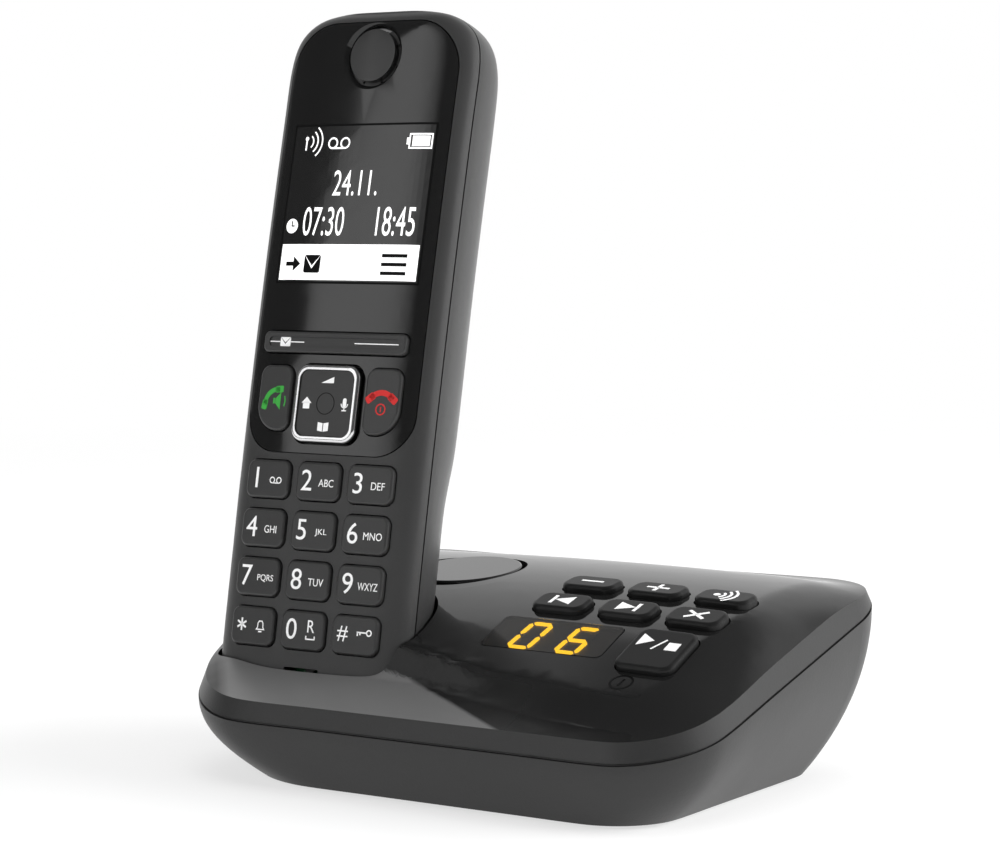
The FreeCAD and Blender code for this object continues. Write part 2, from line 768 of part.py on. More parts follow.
def make_feet():
    feet = []
    for x, y in foot_spots:
        pad = Part.makeCylinder(foot_radius, foot_height, V(x, y, 0))
        edge = [e for e in pad.Edges if all(v.Z < 0.01 for v in e.Vertexes)]
        feet.append(pad.makeFillet(0.4, edge))
    return Part.makeCompound(feet)


def panel_outline(gap):
    half = panel_half + gap
    low = panel_low - gap
    high = panel_high + gap
    return ((-half, low, 9.0), (half, low, 9.0), (half, high, 11.5), (-half, high, 11.5))


def handset_holes():
    """Openings shared by the face panel and the front shell."""
    holes = [key_hole(*spot) for spot in handset_keys().values()]
    bar = rounded_block(softkey_w + 0.6, softkey_l + 0.6, 1.6, -4.0, 3.0)
    holes.append(placed(bar, key_frame(0.0, softkey_at)))
    pad = rounded_block(pad_size + 0.9, pad_size + 0.9, 3.2, -4.0, 3.0)
    holes.append(placed(pad, key_frame(0.0, pad_at)))
    return holes[0].fuse(holes[1:])


def make_panel(holes):
    panel = outer_body.cut(panel_body).common(face_prism(panel_outline(0.0), -3.0, 5.0))
    bevel = Part.makeCone(ear_hole, ear_hole + 1.2, 1.2, V(0, 0, -0.9))
    ring = placed(Part.makeCylinder(ear_hole, 6.0, V(0, 0, -3.0)).fuse(bevel), key_frame(0.0, ear_at))
    return panel.cut(holes).cut(ring)


def make_earpiece():
    disc = Part.makeCylinder(ear_disc, 8.0, V(0, 0, -4.0))
    disc = placed(disc, key_frame(0.0, ear_at))
    return outer_body.cut(panel_body).common(disc).common(before_seam(0.0))


def make_front_shell(holes):
    shell = outer_body.cut(front_cavity).common(before_seam(0.0))
    recess = face_prism(panel_outline(0.2), -3.0, 5.0).cut(panel_body)
    glass = face_prism(((-display_half, display_low, 1.0), (display_half, display_low, 1.0),
                        (display_half, display_high, 1.0), (-display_half, display_high, 1.0)), -3.0, 5.0)
    cuts = [recess, holes, glass]
    for index in range(8):
        angle = math.radians(45 * index + 22.5)
        middle = (ear_disc + ear_hole) / 2
        hole = Part.makeCylinder(0.4, 8.0, V(middle * math.cos(angle), middle * math.sin(angle), -4.0))
        cuts.append(placed(hole, key_frame(0.0, ear_at)))
    cuts.append(placed(rounded_block(9.0, 0.8, 0.35, -4.0, 3.0), key_frame(0.0, microphone_at)))
    boss = Part.makeCylinder(receiver_radius + 1.1, board_t - 2.5, V(0, 2.5, ear_at), V(0, 1, 0))
    boss = boss.cut(Part.makeCylinder(receiver_radius + 0.1, 8.0, V(0, 0.5, ear_at), V(0, 1, 0)))
    seat = V(0, face_t(ear_at) + shell_wall, ear_at)
    cuts.append(Part.makeCylinder(receiver_radius + 0.1, 8.0, seat, V(0, 1, 0)))
    return shell.cut(cuts[0].fuse(cuts[1:])).fuse(boss.common(panel_body))


def tray(grow, low_t):
    return Part.makeBox(2 * (tray_half + grow), 40.0, tray_high - tray_low + 2 * grow,
                        V(-tray_half - grow, low_t, tray_low - grow))


def lid_outline(gap):
    half = tray_half + 2.4 + gap
    low = tray_low - 3.0 - gap
    high = tray_high + 2.6 + gap
    return ((-half, low, 3.0), (half, low, 3.0), (half, high, 3.0), (-half, high, 3.0))


def make_back_shell():
    shell = outer_body.cut(back_cavity).cut(before_seam(0.02))
    groove = before_seam(0.4).cut(before_seam(-0.3)).cut(body(0.35))
    box = tray(1.2, tray_t - 1.2).common(outer_body)
    posts = []
    for w, l in pcb_posts:
        start = board_t + board_thick
        posts.append(Part.makeCylinder(1.9, back_at(w, l) - 1.3 - start, V(w, start, l), V(0, 1, 0)))
    shell = shell.fuse([box] + posts)
    lid_seat = face_prism(lid_outline(0.12), 12.0, 45.0).cut(lid_body)
    cuts = [groove, tray(0.0, tray_t), lid_seat]
    for side in (-1, 1):
        cuts.append(Part.makeBox(5.1, 3.1, 5.0, V(side * contact_w - 2.55, contact_t - 1.55, -1.0)))
    for index in range(5):
        slot = face_prism(((-5.0, ringer_at - 4.6 + 2 * index, 0.4), (5.0, ringer_at - 4.6 + 2 * index, 0.4),
                           (5.0, ringer_at - 3.6 + 2 * index, 0.4), (-5.0, ringer_at - 3.6 + 2 * index, 0.4)),
                          20.0, 40.0)
        cuts.append(slot)
    return shell.cut(cuts[0].fuse(cuts[1:]))


def make_lid():
    lid = outer_body.cut(lid_body).common(face_prism(lid_outline(0.0), 12.0, 45.0))
    grips = []
    for index in range(4):
        l = tray_high - 6.0 - 2.0 * index
        grips.append(Part.makeCylinder(0.45, 14.0, V(-7.0, back_t(l) + 0.05, l), V(1, 0, 0)))
    return lid.cut(grips)


def make_softkeys():
    cap = soft_top(rounded_block(softkey_w, softkey_l, 1.4, -2.4, 0.7), 0.5)
    dip = rounded_block(softkey_w - 3.0, softkey_l - 2.4, 0.9, 0.4, 2.0)
    neck = rounded_block(softkey_w - 1.0, softkey_l - 0.6, 1.4, -3.3, -2.3)
    edge = rounded_block(softkey_w + 0.6, softkey_l + 0.9, 1.4, -3.6, -3.15)
    stems = [Part.makeCylinder(1.1, 1.2, V(side * 14.0, 0, -4.3)) for side in (-1, 1)]
    rocker = Part.makeCylinder(1.5, softkey_l, V(0, -softkey_l / 2, -softkey_pivot), V(0, 1, 0))
    return placed(cap.cut(dip).fuse([neck, edge, rocker] + stems).removeSplitter(), key_frame(0.0, softkey_at))


def make_pad():
    """Navigation pad, its bright frame and the cross-armed post that it rocks on."""
    block = soft_top(rounded_block(pad_size, pad_size, 3.0, -2.4, pad_rise), 0.7)
    inner = rounded_block(pad_size - 2 * pad_frame, pad_size - 2 * pad_frame, 2.2, 0.2, 4.0)
    frame_ring = block.cut(rounded_block(pad_size - 2 * pad_frame, pad_size - 2 * pad_frame, 2.2, -4.0, 4.0))
    plate = soft_top(rounded_block(pad_size - 2 * pad_frame, pad_size - 2 * pad_frame, 2.2, -2.4, pad_rise - 0.4), 0.3)
    centre = V(0, 0, -2.6)
    flange = rounded_block(pad_size + 0.5, pad_size + 0.5, 3.0, -2.75, -2.35)
    groove = Part.makeCylinder(0.55, 6.0, centre - V(3.0, 0, 0), V(1, 0, 0))
    slot = Part.makeCylinder(0.75, 6.0, centre - V(0, 3.0, 0), V(0, 1, 0))
    plate = plate.fuse(flange).cut([Part.makeSphere(1.25, centre), groove, slot])
    frame_ring = frame_ring.cut(flange)
    arm_x = Part.makeCylinder(0.5, 5.2, centre - V(2.6, 0, 0), V(1, 0, 0))
    arm_y = Part.makeCylinder(0.5, 5.2, centre - V(0, 2.6, 0), V(0, 1, 0))
    post = Part.makeCylinder(0.9, 2.85, V(0, 0, -5.45)).fuse([Part.makeSphere(1.2, centre), arm_x, arm_y])
    spot = key_frame(0.0, pad_at)
    return placed(plate, spot), placed(frame_ring, spot), placed(post, spot)


def make_boards():
    board = Part.makeBox(2 * board_half, board_thick, board_high - board_low, V(-board_half, board_t, board_low))
    mat = face_prism(((-19.5, 18.4, 3.0), (19.5, 18.4, 3.0), (19.5, 86.0, 3.0), (-19.5, 86.0, 3.0)), mat_t, board_t)
    mat = mat.cut(Part.makeBox(3.4, 2.0, 3.4, V(-1.7, mat_t - 0.5, pad_at - 1.7)))
    display = Part.makeBox(2 * display_half - 0.6, board_t - display_t, display_high - display_low + 4.0,
                           V(-display_half + 0.3, display_t, display_low - 2.0))
    return board, mat, display


def make_batteries():
    cells = []
    for side in (-1, 1):
        w = side * (cell_radius + 0.25)
        cell = Part.makeCylinder(cell_radius, cell_length, V(w, tray_t + cell_radius + 0.1, tray_low + 1.0))
        tip = Part.makeCylinder(1.9, 1.0, V(w, tray_t + cell_radius + 0.1, tray_low + 1.0 + cell_length))
        cells.append(cell.fuse(tip))
    return Part.makeCompound(cells)


outer_body = body(0.0)
panel_body = body(panel_skin)
front_cavity = body(shell_wall, 155)
back_cavity = body(back_wall)
lid_body = body(1.8)


def build_base():
    save(make_cover(), "base_top_cover")
    save(make_lower(), "base_lower_housing")
    save(make_base_board(), "base_circuit_board")
    for name, spot in button_spots().items():
        save(make_button(spot), name)
    save(make_switches(), "base_switches")
    window = seat_block(window_w - 0.3, window_d - 0.3, 1.5, window_x, window_y, -window_thick, 0.0)
    save(window, "display_window")
    digits, bars = make_digits()
    save(digits, "digit_block")
    save(bars, "digit_bars")
    frame, cone = make_speaker()
    frame = below_cover(frame, speaker_x, speaker_y)
    notch = Part.makeCylinder(post_radius + 0.3, 60.0, V(*screw_spots[0], 0))
    save(frame.cut([moved(cup, 0.3, 0.3, 0), notch]), "loudspeaker_frame")
    save(below_cover(cone, speaker_x, speaker_y), "loudspeaker_cone")
    save(below_cover(make_speaker_cap(), speaker_x, speaker_y), "speaker_cap")
    line, power = make_jacks()
    save(line, "line_socket")
    save(power, "power_socket")
    save(make_base_contacts(), "cradle_contacts")
    save(make_screws(), "housing_screws")
    save(make_feet(), "rubber_feet")


def build_handset():
    holes = handset_holes()
    save_handset(make_front_shell(holes), "handset_front_shell")
    save_handset(make_panel(holes), "handset_face_panel")
    save_handset(make_back_shell(), "handset_back_shell")
    save_handset(make_lid(), "battery_lid")
    save_handset(make_earpiece(), "earpiece_disc")
    receiver = Part.makeCylinder(receiver_radius, 2.6, V(0, face_t(ear_at) + shell_wall + 0.1, ear_at), V(0, 1, 0))
    save_handset(receiver, "earpiece_receiver")
    for name, spot in handset_keys().items():
        save_handset(key_cap(*spot), name)
    save_handset(make_softkeys(), "softkey_bar")
    plate, frame, post = make_pad()
    save_handset(plate, "nav_pad")
    save_handset(frame, "nav_frame")
    save_handset(post, "nav_post")
    board, mat, display = make_boards()
    save_handset(board, "handset_circuit_board")
    save_handset(mat, "key_dome_sheet")
    save_handset(display, "handset_display")
    save_handset(make_batteries(), "battery_cells")
    microphone = Part.makeCylinder(1.8, 1.3, V(0, board_t - 1.3, microphone_at + 1.5), V(0, 1, 0))
    save_handset(microphone, "microphone")
    ringer = Part.makeCylinder(8.5, 3.6, V(0, back_t(ringer_at) - back_wall - 4.4, ringer_at), V(0, 1, 0))
    save_handset(ringer, "ringer_speaker")
    pads = [Part.makeBox(5.0, 3.0, 3.0, V(side * contact_w - 2.5, contact_t - 1.5, 0)) for side in (-1, 1)]
    save_handset(Part.makeCompound(pads), "charging_pads")


build_base()
build_handset()
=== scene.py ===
import math
import bpy
from mathutils import Matrix, Vector


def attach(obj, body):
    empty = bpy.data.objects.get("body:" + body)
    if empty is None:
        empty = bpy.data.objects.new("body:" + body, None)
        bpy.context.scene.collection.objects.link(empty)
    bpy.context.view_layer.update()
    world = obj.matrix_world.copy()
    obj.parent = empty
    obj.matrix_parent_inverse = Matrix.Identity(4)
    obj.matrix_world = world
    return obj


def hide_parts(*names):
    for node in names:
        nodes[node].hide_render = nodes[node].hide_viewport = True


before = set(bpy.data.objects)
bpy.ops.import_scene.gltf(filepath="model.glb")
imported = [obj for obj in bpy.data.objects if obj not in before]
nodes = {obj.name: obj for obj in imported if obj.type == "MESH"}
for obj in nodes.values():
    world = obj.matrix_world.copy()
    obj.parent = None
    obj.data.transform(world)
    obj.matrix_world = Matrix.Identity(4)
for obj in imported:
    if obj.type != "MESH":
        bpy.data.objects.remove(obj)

scene = bpy.context.scene
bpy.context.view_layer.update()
print("frame loaded:", len(nodes), "nodes")

mm = 0.001

cover = {  # the base's top, in millimetres as in the part's source
    "halfLength": 66.3, "halfDepth": 47.65, "bendY": -20.35, "bendZ": 32.2, "midY": 3.65,
    "slopeFront": 0.4515, "slopeMid": 0.167, "slopeBack": -0.167, "crownDrop": 1.45,
}
handset = {  # where it stands, how far it leans and how its face curves
    "lean": 11.6, "x": -35.3, "y": -34.35, "z": 8.83,
    "half": 24.5, "frontDepth": 5.2, "faceArch": 0.000263, "archFrom": 80.0, "edgePower": 6,
}
probe = {"cover": 0.5, "face": 0.2}  # steps over which a slope is measured


def crestZ(y):
    ahead = y - cover["bendY"]
    if ahead < 0:
        return cover["bendZ"] + cover["slopeFront"] * ahead
    span = cover["midY"] - cover["bendY"]
    if ahead < span:
        bend = (cover["slopeMid"] - cover["slopeFront"]) / (2 * span)
        return cover["bendZ"] + cover["slopeFront"] * ahead + bend * ahead ** 2
    midZ = cover["bendZ"] + (cover["slopeFront"] + cover["slopeMid"]) / 2 * span
    ahead = y - cover["midY"]
    span = cover["halfDepth"] - cover["midY"]
    bend = (cover["slopeBack"] - cover["slopeMid"]) / (2 * span)
    return midZ + cover["slopeMid"] * ahead + bend * ahead ** 2


def topZ(x, y):
    return crestZ(y) - cover["crownDrop"] * (x / cover["halfLength"]) ** 2


def frameFrom(side, up, out, origin):
    place = Matrix((
        (side.x, up.x, out.x, origin.x),
        (side.y, up.y, out.y, origin.y),
        (side.z, up.z, out.z, origin.z),
        (0, 0, 0, 1),
    ))
    return Matrix.Scale(mm, 4) @ place


def coverPlace(x, y):  # X across, Y up the slope, Z out of the cover
    small = probe["cover"]
    across = (topZ(x + small, y) - topZ(x - small, y)) / (2 * small)
    along = (topZ(x, y + small) - topZ(x, y - small)) / (2 * small)
    out = Vector((-across, -along, 1)).normalized()
    side = Vector((0, 1, 0)).cross(out).normalized()
    return frameFrom(side, out.cross(side), out, Vector((x, y, topZ(x, y))))


def faceDepth(w, l):  # how far the handset's face lies behind its middle line
    part = min(0.999, abs(w) / handset["half"])
    arch = handset["faceArch"] * (l - handset["archFrom"]) ** 2
    return arch + handset["frontDepth"] * (1 - (1 - part ** handset["edgePower"]) ** 0.5)


handsetTurn = Matrix.Rotation(math.radians(-handset["lean"]), 4, "X")
handsetSpot = Matrix.Translation((handset["x"], handset["y"], handset["z"]))
handsetPlace = Matrix.Scale(mm, 4) @ handsetSpot @ handsetTurn


def facePlace(w, l):  # X across, Y along the handset, Z out of its face
    small = probe["face"]
    across = (faceDepth(w + small, l) - faceDepth(w - small, l)) / (2 * small)
    along = (faceDepth(w, l + small) - faceDepth(w, l - small)) / (2 * small)
    out = Vector((across, -1, along)).normalized()
    side = Vector((1, 0, 0))
    side = (side - out * side.dot(out)).normalized()
    place = frameFrom(side, out.cross(side), out, Vector((w, faceDepth(w, l), l)))
    return handsetPlace @ Matrix.Scale(1 / mm, 4) @ place


def startFresh():
    if bpy.context.object and bpy.context.object.mode != "OBJECT":
        bpy.ops.object.mode_set(mode="OBJECT")
    bpy.ops.object.select_all(action="DESELECT")


def shapePlate(points):
    startFresh()
    bpy.ops.mesh.primitive_circle_add(vertices=len(points), radius=1, fill_type="NGON")
    plate = bpy.context.object
    for vertex, (x, y) in zip(plate.data.vertices, points):
        vertex.co = (x, y, 0)
    return plate


plateSteps = {"corner": 4, "ring": 48, "disc": 32, "letter": 4}


def barPlate(width, depth, x=0.0, y=0.0, turn=0.0, corner=0.0):
    startFresh()
    bpy.ops.mesh.primitive_plane_add(size=1)
    plate = bpy.context.object
    bpy.ops.object.mode_set(mode="EDIT")
    bpy.ops.transform.resize(value=(width, depth, 1))
    if corner:
        bpy.ops.mesh.bevel(offset=corner, segments=plateSteps["corner"], affect="VERTICES")
    bpy.ops.object.mode_set(mode="OBJECT")
    plate.data.transform(Matrix.Translation((x, y, 0)) @ Matrix.Rotation(math.radians(turn), 4, "Z"))
    return plate


def ringPlate(outer, inner, x=0.0, y=0.0, start=0.0, sweep=360.0):
    startFresh()
    bpy.ops.mesh.primitive_circle_add(vertices=plateSteps["ring"], radius=outer, fill_type="NGON")
    ring = bpy.context.object
    bpy.ops.object.mode_set(mode="EDIT")
    bpy.ops.mesh.inset(thickness=outer - inner)
    bpy.ops.mesh.delete(type="FACE")
    bpy.ops.mesh.select_all(action="DESELECT")
    bpy.ops.object.mode_set(mode="OBJECT")
    if sweep < 360:
        for face in ring.data.polygons:
            angle = math.degrees(math.atan2(face.center.y, face.center.x))
            face.select = (angle - start) % 360 > sweep
        bpy.ops.object.mode_set(mode="EDIT")
        bpy.ops.mesh.select_mode(type="FACE")
        bpy.ops.mesh.delete(type="FACE")
        bpy.ops.object.mode_set(mode="OBJECT")
    ring.data.transform(Matrix.Translation((x, y, 0)))
    return ring


def discPlate(radius, x=0.0, y=0.0):
    startFresh()
    bpy.ops.mesh.primitive_circle_add(vertices=plateSteps["disc"], radius=radius, fill_type="NGON")
    disc = bpy.context.object
    disc.data.transform(Matrix.Translation((x, y, 0)))
    return disc


def outlinePlate(points, width):  # the rim of a shape
    plate = shapePlate(points)
    bpy.ops.object.mode_set(mode="EDIT")
    bpy.ops.mesh.select_all(action="SELECT")
    bpy.ops.mesh.inset(thickness=width)
    bpy.ops.mesh.delete(type="FACE")
    bpy.ops.object.mode_set(mode="OBJECT")
    return plate


lettering = {"firstSize": 1.4, "weld": 0.0005}


def wordPlate(text, height, x, y, narrow=1.0):  # a word scaled to its height and set by its middle
    startFresh()
    bpy.ops.object.text_add()
    word = bpy.context.object
    word.data.body = text
    word.data.align_x = "CENTER"
    word.data.align_y = "CENTER"
    word.data.resolution_u = plateSteps["letter"]
    word.data.size = height * lettering["firstSize"]
    bpy.ops.object.convert(target="MESH")
    word = bpy.context.object
    low = min(v.co.y for v in word.data.vertices)
    high = max(v.co.y for v in word.data.vertices)
    left = min(v.co.x for v in word.data.vertices)
    right = max(v.co.x for v in word.data.vertices)
    size = height / (high - low)
    word.data.transform(Matrix.Translation((x, y, 0)) @ Matrix.Diagonal((size * narrow, size, 1, 1))
                        @ Matrix.Translation((-(left + right) / 2, -(low + high) / 2, 0)))
    bpy.ops.object.mode_set(mode="EDIT")
    bpy.ops.mesh.select_all(action="SELECT")
    bpy.ops.mesh.remove_doubles(threshold=lettering["weld"])
    bpy.ops.mesh.normals_make_consistent(inside=False)
    bpy.ops.object.mode_set(mode="OBJECT")
    return word


def joinPlates(plates, name):
    startFresh()
    for plate in plates:
        plate.select_set(True)
    bpy.context.view_layer.objects.active = plates[0]
    if len(plates) > 1:
        bpy.ops.object.join()
    mark = bpy.context.object
    mark.name = name
    mark.data.name = name
    bpy.ops.object.mode_set(mode="EDIT")
    bpy.ops.mesh.select_all(action="SELECT")
    if sum(face.normal.z for face in mark.data.polygons) < 0:
        bpy.ops.mesh.flip_normals()
    bpy.ops.object.mode_set(mode="OBJECT")
    return mark


def thicken(piece, depth, offset=1.0):
    startFresh()
    piece.select_set(True)
    bpy.context.view_layer.objects.active = piece
    wall = piece.modifiers.new("thickness", "SOLIDIFY")
    wall.thickness = depth
    wall.offset = offset
    wall.use_even_offset = False
    bpy.ops.object.modifier_apply(modifier=wall.name)


def settle(piece, place, body, material):
    startFresh()
    piece.select_set(True)
    bpy.context.view_layer.objects.active = piece
    piece.matrix_world = place
    bpy.ops.object.transform_apply(location=True, rotation=True, scale=True)
    piece.data.materials.clear()
    piece.data.materials.append(material)
    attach(piece, body)
    return piece


def newGroup(name, inputs, outputs):
    group = bpy.data.node_groups.new(name, "ShaderNodeTree")
    for label, kind, value in inputs:
        socket = group.interface.new_socket(label, in_out="INPUT", socket_type=kind)
        socket.default_value = value
    for label, kind in outputs:
        group.interface.new_socket(label, in_out="OUTPUT", socket_type=kind)
    return group, group.nodes.new("NodeGroupInput"), group.nodes.new("NodeGroupOutput")


def mathNode(tree, operation, first, second=None, third=None, clamp=False):
    node = tree.nodes.new("ShaderNodeMath")
    node.operation = operation
    node.use_clamp = clamp
    for socket, value in zip(node.inputs, (first, second, third)):
        if value is None:
            continue
        if isinstance(value, (int, float)):
            socket.default_value = value
        else:
            tree.links.new(value, socket)
    return node.outputs[0]


def mixColour(tree, share, first, second):
    node = tree.nodes.new("ShaderNodeMix")
    node.data_type = "RGBA"
    for socket, value in ((node.inputs[0], share), (node.inputs[6], first), (node.inputs[7], second)):
        if isinstance(value, (int, float)):
            socket.default_value = value
        elif isinstance(value, tuple):
            socket.default_value = value
        else:
            tree.links.new(value, socket)
    return node.outputs[2]


def noiseNode(tree, coords, scale, detail=2.0, rough=0.5):
    node = tree.nodes.new("ShaderNodeTexNoise")
    node.inputs["Detail"].default_value = detail
    node.inputs["Roughness"].default_value = rough
    if isinstance(scale, (int, float)):
        node.inputs["Scale"].default_value = scale
    else:
        tree.links.new(scale, node.inputs["Scale"])
    tree.links.new(coords, node.inputs["Vector"])
    return node.outputs[0]


skinOutputs = [("Colour", "NodeSocketColor"), ("Roughness", "NodeSocketFloat"), ("Height", "NodeSocketFloat")]


def makeGrainGroup():  # fine moulded texture with faint clouding
    spec = {
        "detail": 3.0, "fade": 0.6, "grainHeight": 0.6, "sparkHeight": 0.5,
        "grainTint": 0.5, "cloudTint": 0.5,
    }
    group, given, result = newGroup(
        "mouldedGrain",
        [("Colour", "NodeSocketColor", (0.02, 0.02, 0.02, 1)),
         ("Shade", "NodeSocketColor", (0.03, 0.03, 0.03, 1)),
         ("Grain Scale", "NodeSocketFloat", 1800.0), ("Cloud Scale", "NodeSocketFloat", 45.0),
         ("Roughness", "NodeSocketFloat", 0.4), ("Spread", "NodeSocketFloat", 0.1)],
        skinOutputs)
    coords = group.nodes.new("ShaderNodeTexCoord").outputs["Object"]
    grain = noiseNode(group, coords, given.outputs["Grain Scale"], spec["detail"], spec["fade"])
    cloud = noiseNode(group, coords, given.outputs["Cloud Scale"])
    spark = group.nodes.new("ShaderNodeTexVoronoi")
    group.links.new(coords, spark.inputs["Vector"])
    group.links.new(given.outputs["Grain Scale"], spark.inputs["Scale"])
    sparks = mathNode(group, "MULTIPLY", spark.outputs[0], spec["sparkHeight"])
    both = mathNode(group, "MULTIPLY_ADD", grain, spec["grainHeight"], sparks)
    clouds = mathNode(group, "MULTIPLY", cloud, spec["cloudTint"])
    tint = mathNode(group, "MULTIPLY_ADD", grain, spec["grainTint"], clouds, clamp=True)
    colour = mixColour(group, tint, given.outputs["Colour"], given.outputs["Shade"])
    swing = mathNode(group, "SUBTRACT", cloud, 0.5)
    rough = mathNode(group, "MULTIPLY_ADD", swing, given.outputs["Spread"], given.outputs["Roughness"])
    group.links.new(colour, result.inputs["Colour"])
    group.links.new(rough, result.inputs["Roughness"])
    group.links.new(both, result.inputs["Height"])
    return group


def makePolishGroup():  # soft ripple, wiping haze and a few dust specks on polished plastic
    spec = {"haze": 38.0, "ripple": 120.0, "specks": 620.0, "speckSize": 0.07, "groups": 300.0, "bare": 0.62}
    group, given, result = newGroup(
        "polishedSkin",
        [("Colour", "NodeSocketColor", (0.01, 0.01, 0.01, 1)),
         ("Dust", "NodeSocketColor", (0.08, 0.08, 0.08, 1)),
         ("Dust Amount", "NodeSocketFloat", 0.2), ("Roughness", "NodeSocketFloat", 0.05),
         ("Haze", "NodeSocketFloat", 0.04)],
        skinOutputs)
    coords = group.nodes.new("ShaderNodeTexCoord").outputs["Object"]
    haze = noiseNode(group, coords, spec["haze"], 3.0)
    ripple = noiseNode(group, coords, spec["ripple"], 1.0)
    speck = group.nodes.new("ShaderNodeTexVoronoi")
    speck.inputs["Scale"].default_value = spec["specks"]
    group.links.new(coords, speck.inputs["Vector"])
    near = mathNode(group, "LESS_THAN", speck.outputs[0], spec["speckSize"])
    some = mathNode(group, "GREATER_THAN", noiseNode(group, coords, spec["groups"], 0.0), spec["bare"])
    dust = mathNode(group, "MULTIPLY", mathNode(group, "MULTIPLY", near, some), given.outputs["Dust Amount"])
    colour = mixColour(group, dust, given.outputs["Colour"], given.outputs["Dust"])
    rough = mathNode(group, "MULTIPLY_ADD", haze, given.outputs["Haze"], given.outputs["Roughness"])
    group.links.new(colour, result.inputs["Colour"])
    group.links.new(rough, result.inputs["Roughness"])
    group.links.new(ripple, result.inputs["Height"])
    return group


def makeBrushGroup():  # fine hairlines and stains on bare metal
    spec = {"stretch": (1, 12, 12), "lines": 900.0, "stains": 260.0, "stainShare": 0.5}
    group, given, result = newGroup(
        "wornMetal",
        [("Colour", "NodeSocketColor", (0.7, 0.7, 0.7, 1)),
         ("Stain", "NodeSocketColor", (0.4, 0.38, 0.35, 1)),
         ("Roughness", "NodeSocketFloat", 0.2), ("Hairlines", "NodeSocketFloat", 0.15)],
        skinOutputs)
    coords = group.nodes.new("ShaderNodeTexCoord").outputs["Object"]
    turn = group.nodes.new("ShaderNodeMapping")
    turn.inputs["Scale"].default_value = spec["stretch"]
    group.links.new(coords, turn.inputs["Vector"])
    lines = noiseNode(group, turn.outputs[0], spec["lines"], 3.0)
    stain = noiseNode(group, coords, spec["stains"], 3.0)
    some = mathNode(group, "MULTIPLY", stain, spec["stainShare"])
    colour = mixColour(group, some, given.outputs["Colour"], given.outputs["Stain"])
    rough = mathNode(group, "MULTIPLY_ADD", lines, given.outputs["Hairlines"], given.outputs["Roughness"])
    group.links.new(colour, result.inputs["Colour"])
    group.links.new(rough, result.inputs["Roughness"])
    group.links.new(lines, result.inputs["Height"])
    return group


grainGroup = makeGrainGroup()
polishGroup = makePolishGroup()
brushGroup = makeBrushGroup()


def newMaterial(name):
    material = bpy.data.materials.new(name)
    material.use_nodes = True
    tree = material.node_tree
    return material, tree, tree.nodes["Principled BSDF"]


def addGroup(tree, group, values):
    node = tree.nodes.new("ShaderNodeGroup")
    node.node_tree = group
    for label, value in values.items():
        node.inputs[label].default_value = value
    return node


def addBump(tree, shader, height, distance):
    bump = tree.nodes.new("ShaderNodeBump")
    bump.inputs["Distance"].default_value = distance
    bump.inputs["Strength"].default_value = 1.0
    tree.links.new(height, bump.inputs["Height"])
    tree.links.new(bump.outputs[0], shader.inputs["Normal"])


def grey(level):
    return (level, level, level, 1)


def dressed(name, group, values, bump, metallic=0.0, emission=None, gloss=0.5):
    material, tree, shader = newMaterial(name)
    skin = addGroup(tree, group, values)
    tree.links.new(skin.outputs["Colour"], shader.inputs["Base Color"])
    tree.links.new(skin.outputs["Roughness"], shader.inputs["Roughness"])
    addBump(tree, shader, skin.outputs["Height"], bump)
    shader.inputs["Metallic"].default_value = metallic
    shader.inputs["Specular IOR Level"].default_value = gloss
    if emission:
        shader.inputs["Emission Color"].default_value = emission[0]
        shader.inputs["Emission Strength"].default_value = emission[1]
    return material


def grained(name, level, rough, grain=1800.0, bump=0.00002, spread=0.1, shade=1.35, gloss=0.5):
    values = {"Colour": grey(level), "Shade": grey(level * shade), "Grain Scale": grain,
              "Roughness": rough, "Spread": spread}
    return dressed(name, grainGroup, values, bump, gloss=gloss)


def tinted(name, colour, shade, rough, grain=1800.0, bump=0.00001, spread=0.1, emission=None):
    values = {"Colour": colour, "Shade": shade, "Grain Scale": grain,
              "Roughness": rough, "Spread": spread}
    return dressed(name, grainGroup, values, bump, emission=emission)


def polished(name, level, rough=0.05, haze=0.03, dust=0.25, bump=0.0000015, dustLevel=0.07):
    values = {"Colour": grey(level), "Dust": grey(dustLevel), "Dust Amount": dust,
              "Roughness": rough, "Haze": haze}
    return dressed(name, polishGroup, values, bump)


def metal(name, colour, stain, rough, hairlines=0.12, bump=0.000001):
    values = {"Colour": colour, "Stain": stain, "Roughness": rough, "Hairlines": hairlines}
    return dressed(name, brushGroup, values, bump, metallic=1.0)


def beside(tree, x, y, line):  # 1 on the left of a line through (x0, y0) heading (dx, dy)
    x0, y0, dx, dy, soft = line
    long = math.hypot(dx, dy)
    across = mathNode(tree, "MULTIPLY", mathNode(tree, "SUBTRACT", y, y0 * mm), dx / long)
    along = mathNode(tree, "MULTIPLY", mathNode(tree, "SUBTRACT", x, x0 * mm), -dy / long)
    apart = mathNode(tree, "ADD", across, along)
    return mathNode(tree, "MULTIPLY_ADD", apart, 1 / (soft * mm), 0.5, clamp=True)


def blendValues(tree, share, first, second):
    return mathNode(tree, "MULTIPLY_ADD", mathNode(tree, "SUBTRACT", second, first), share, first)


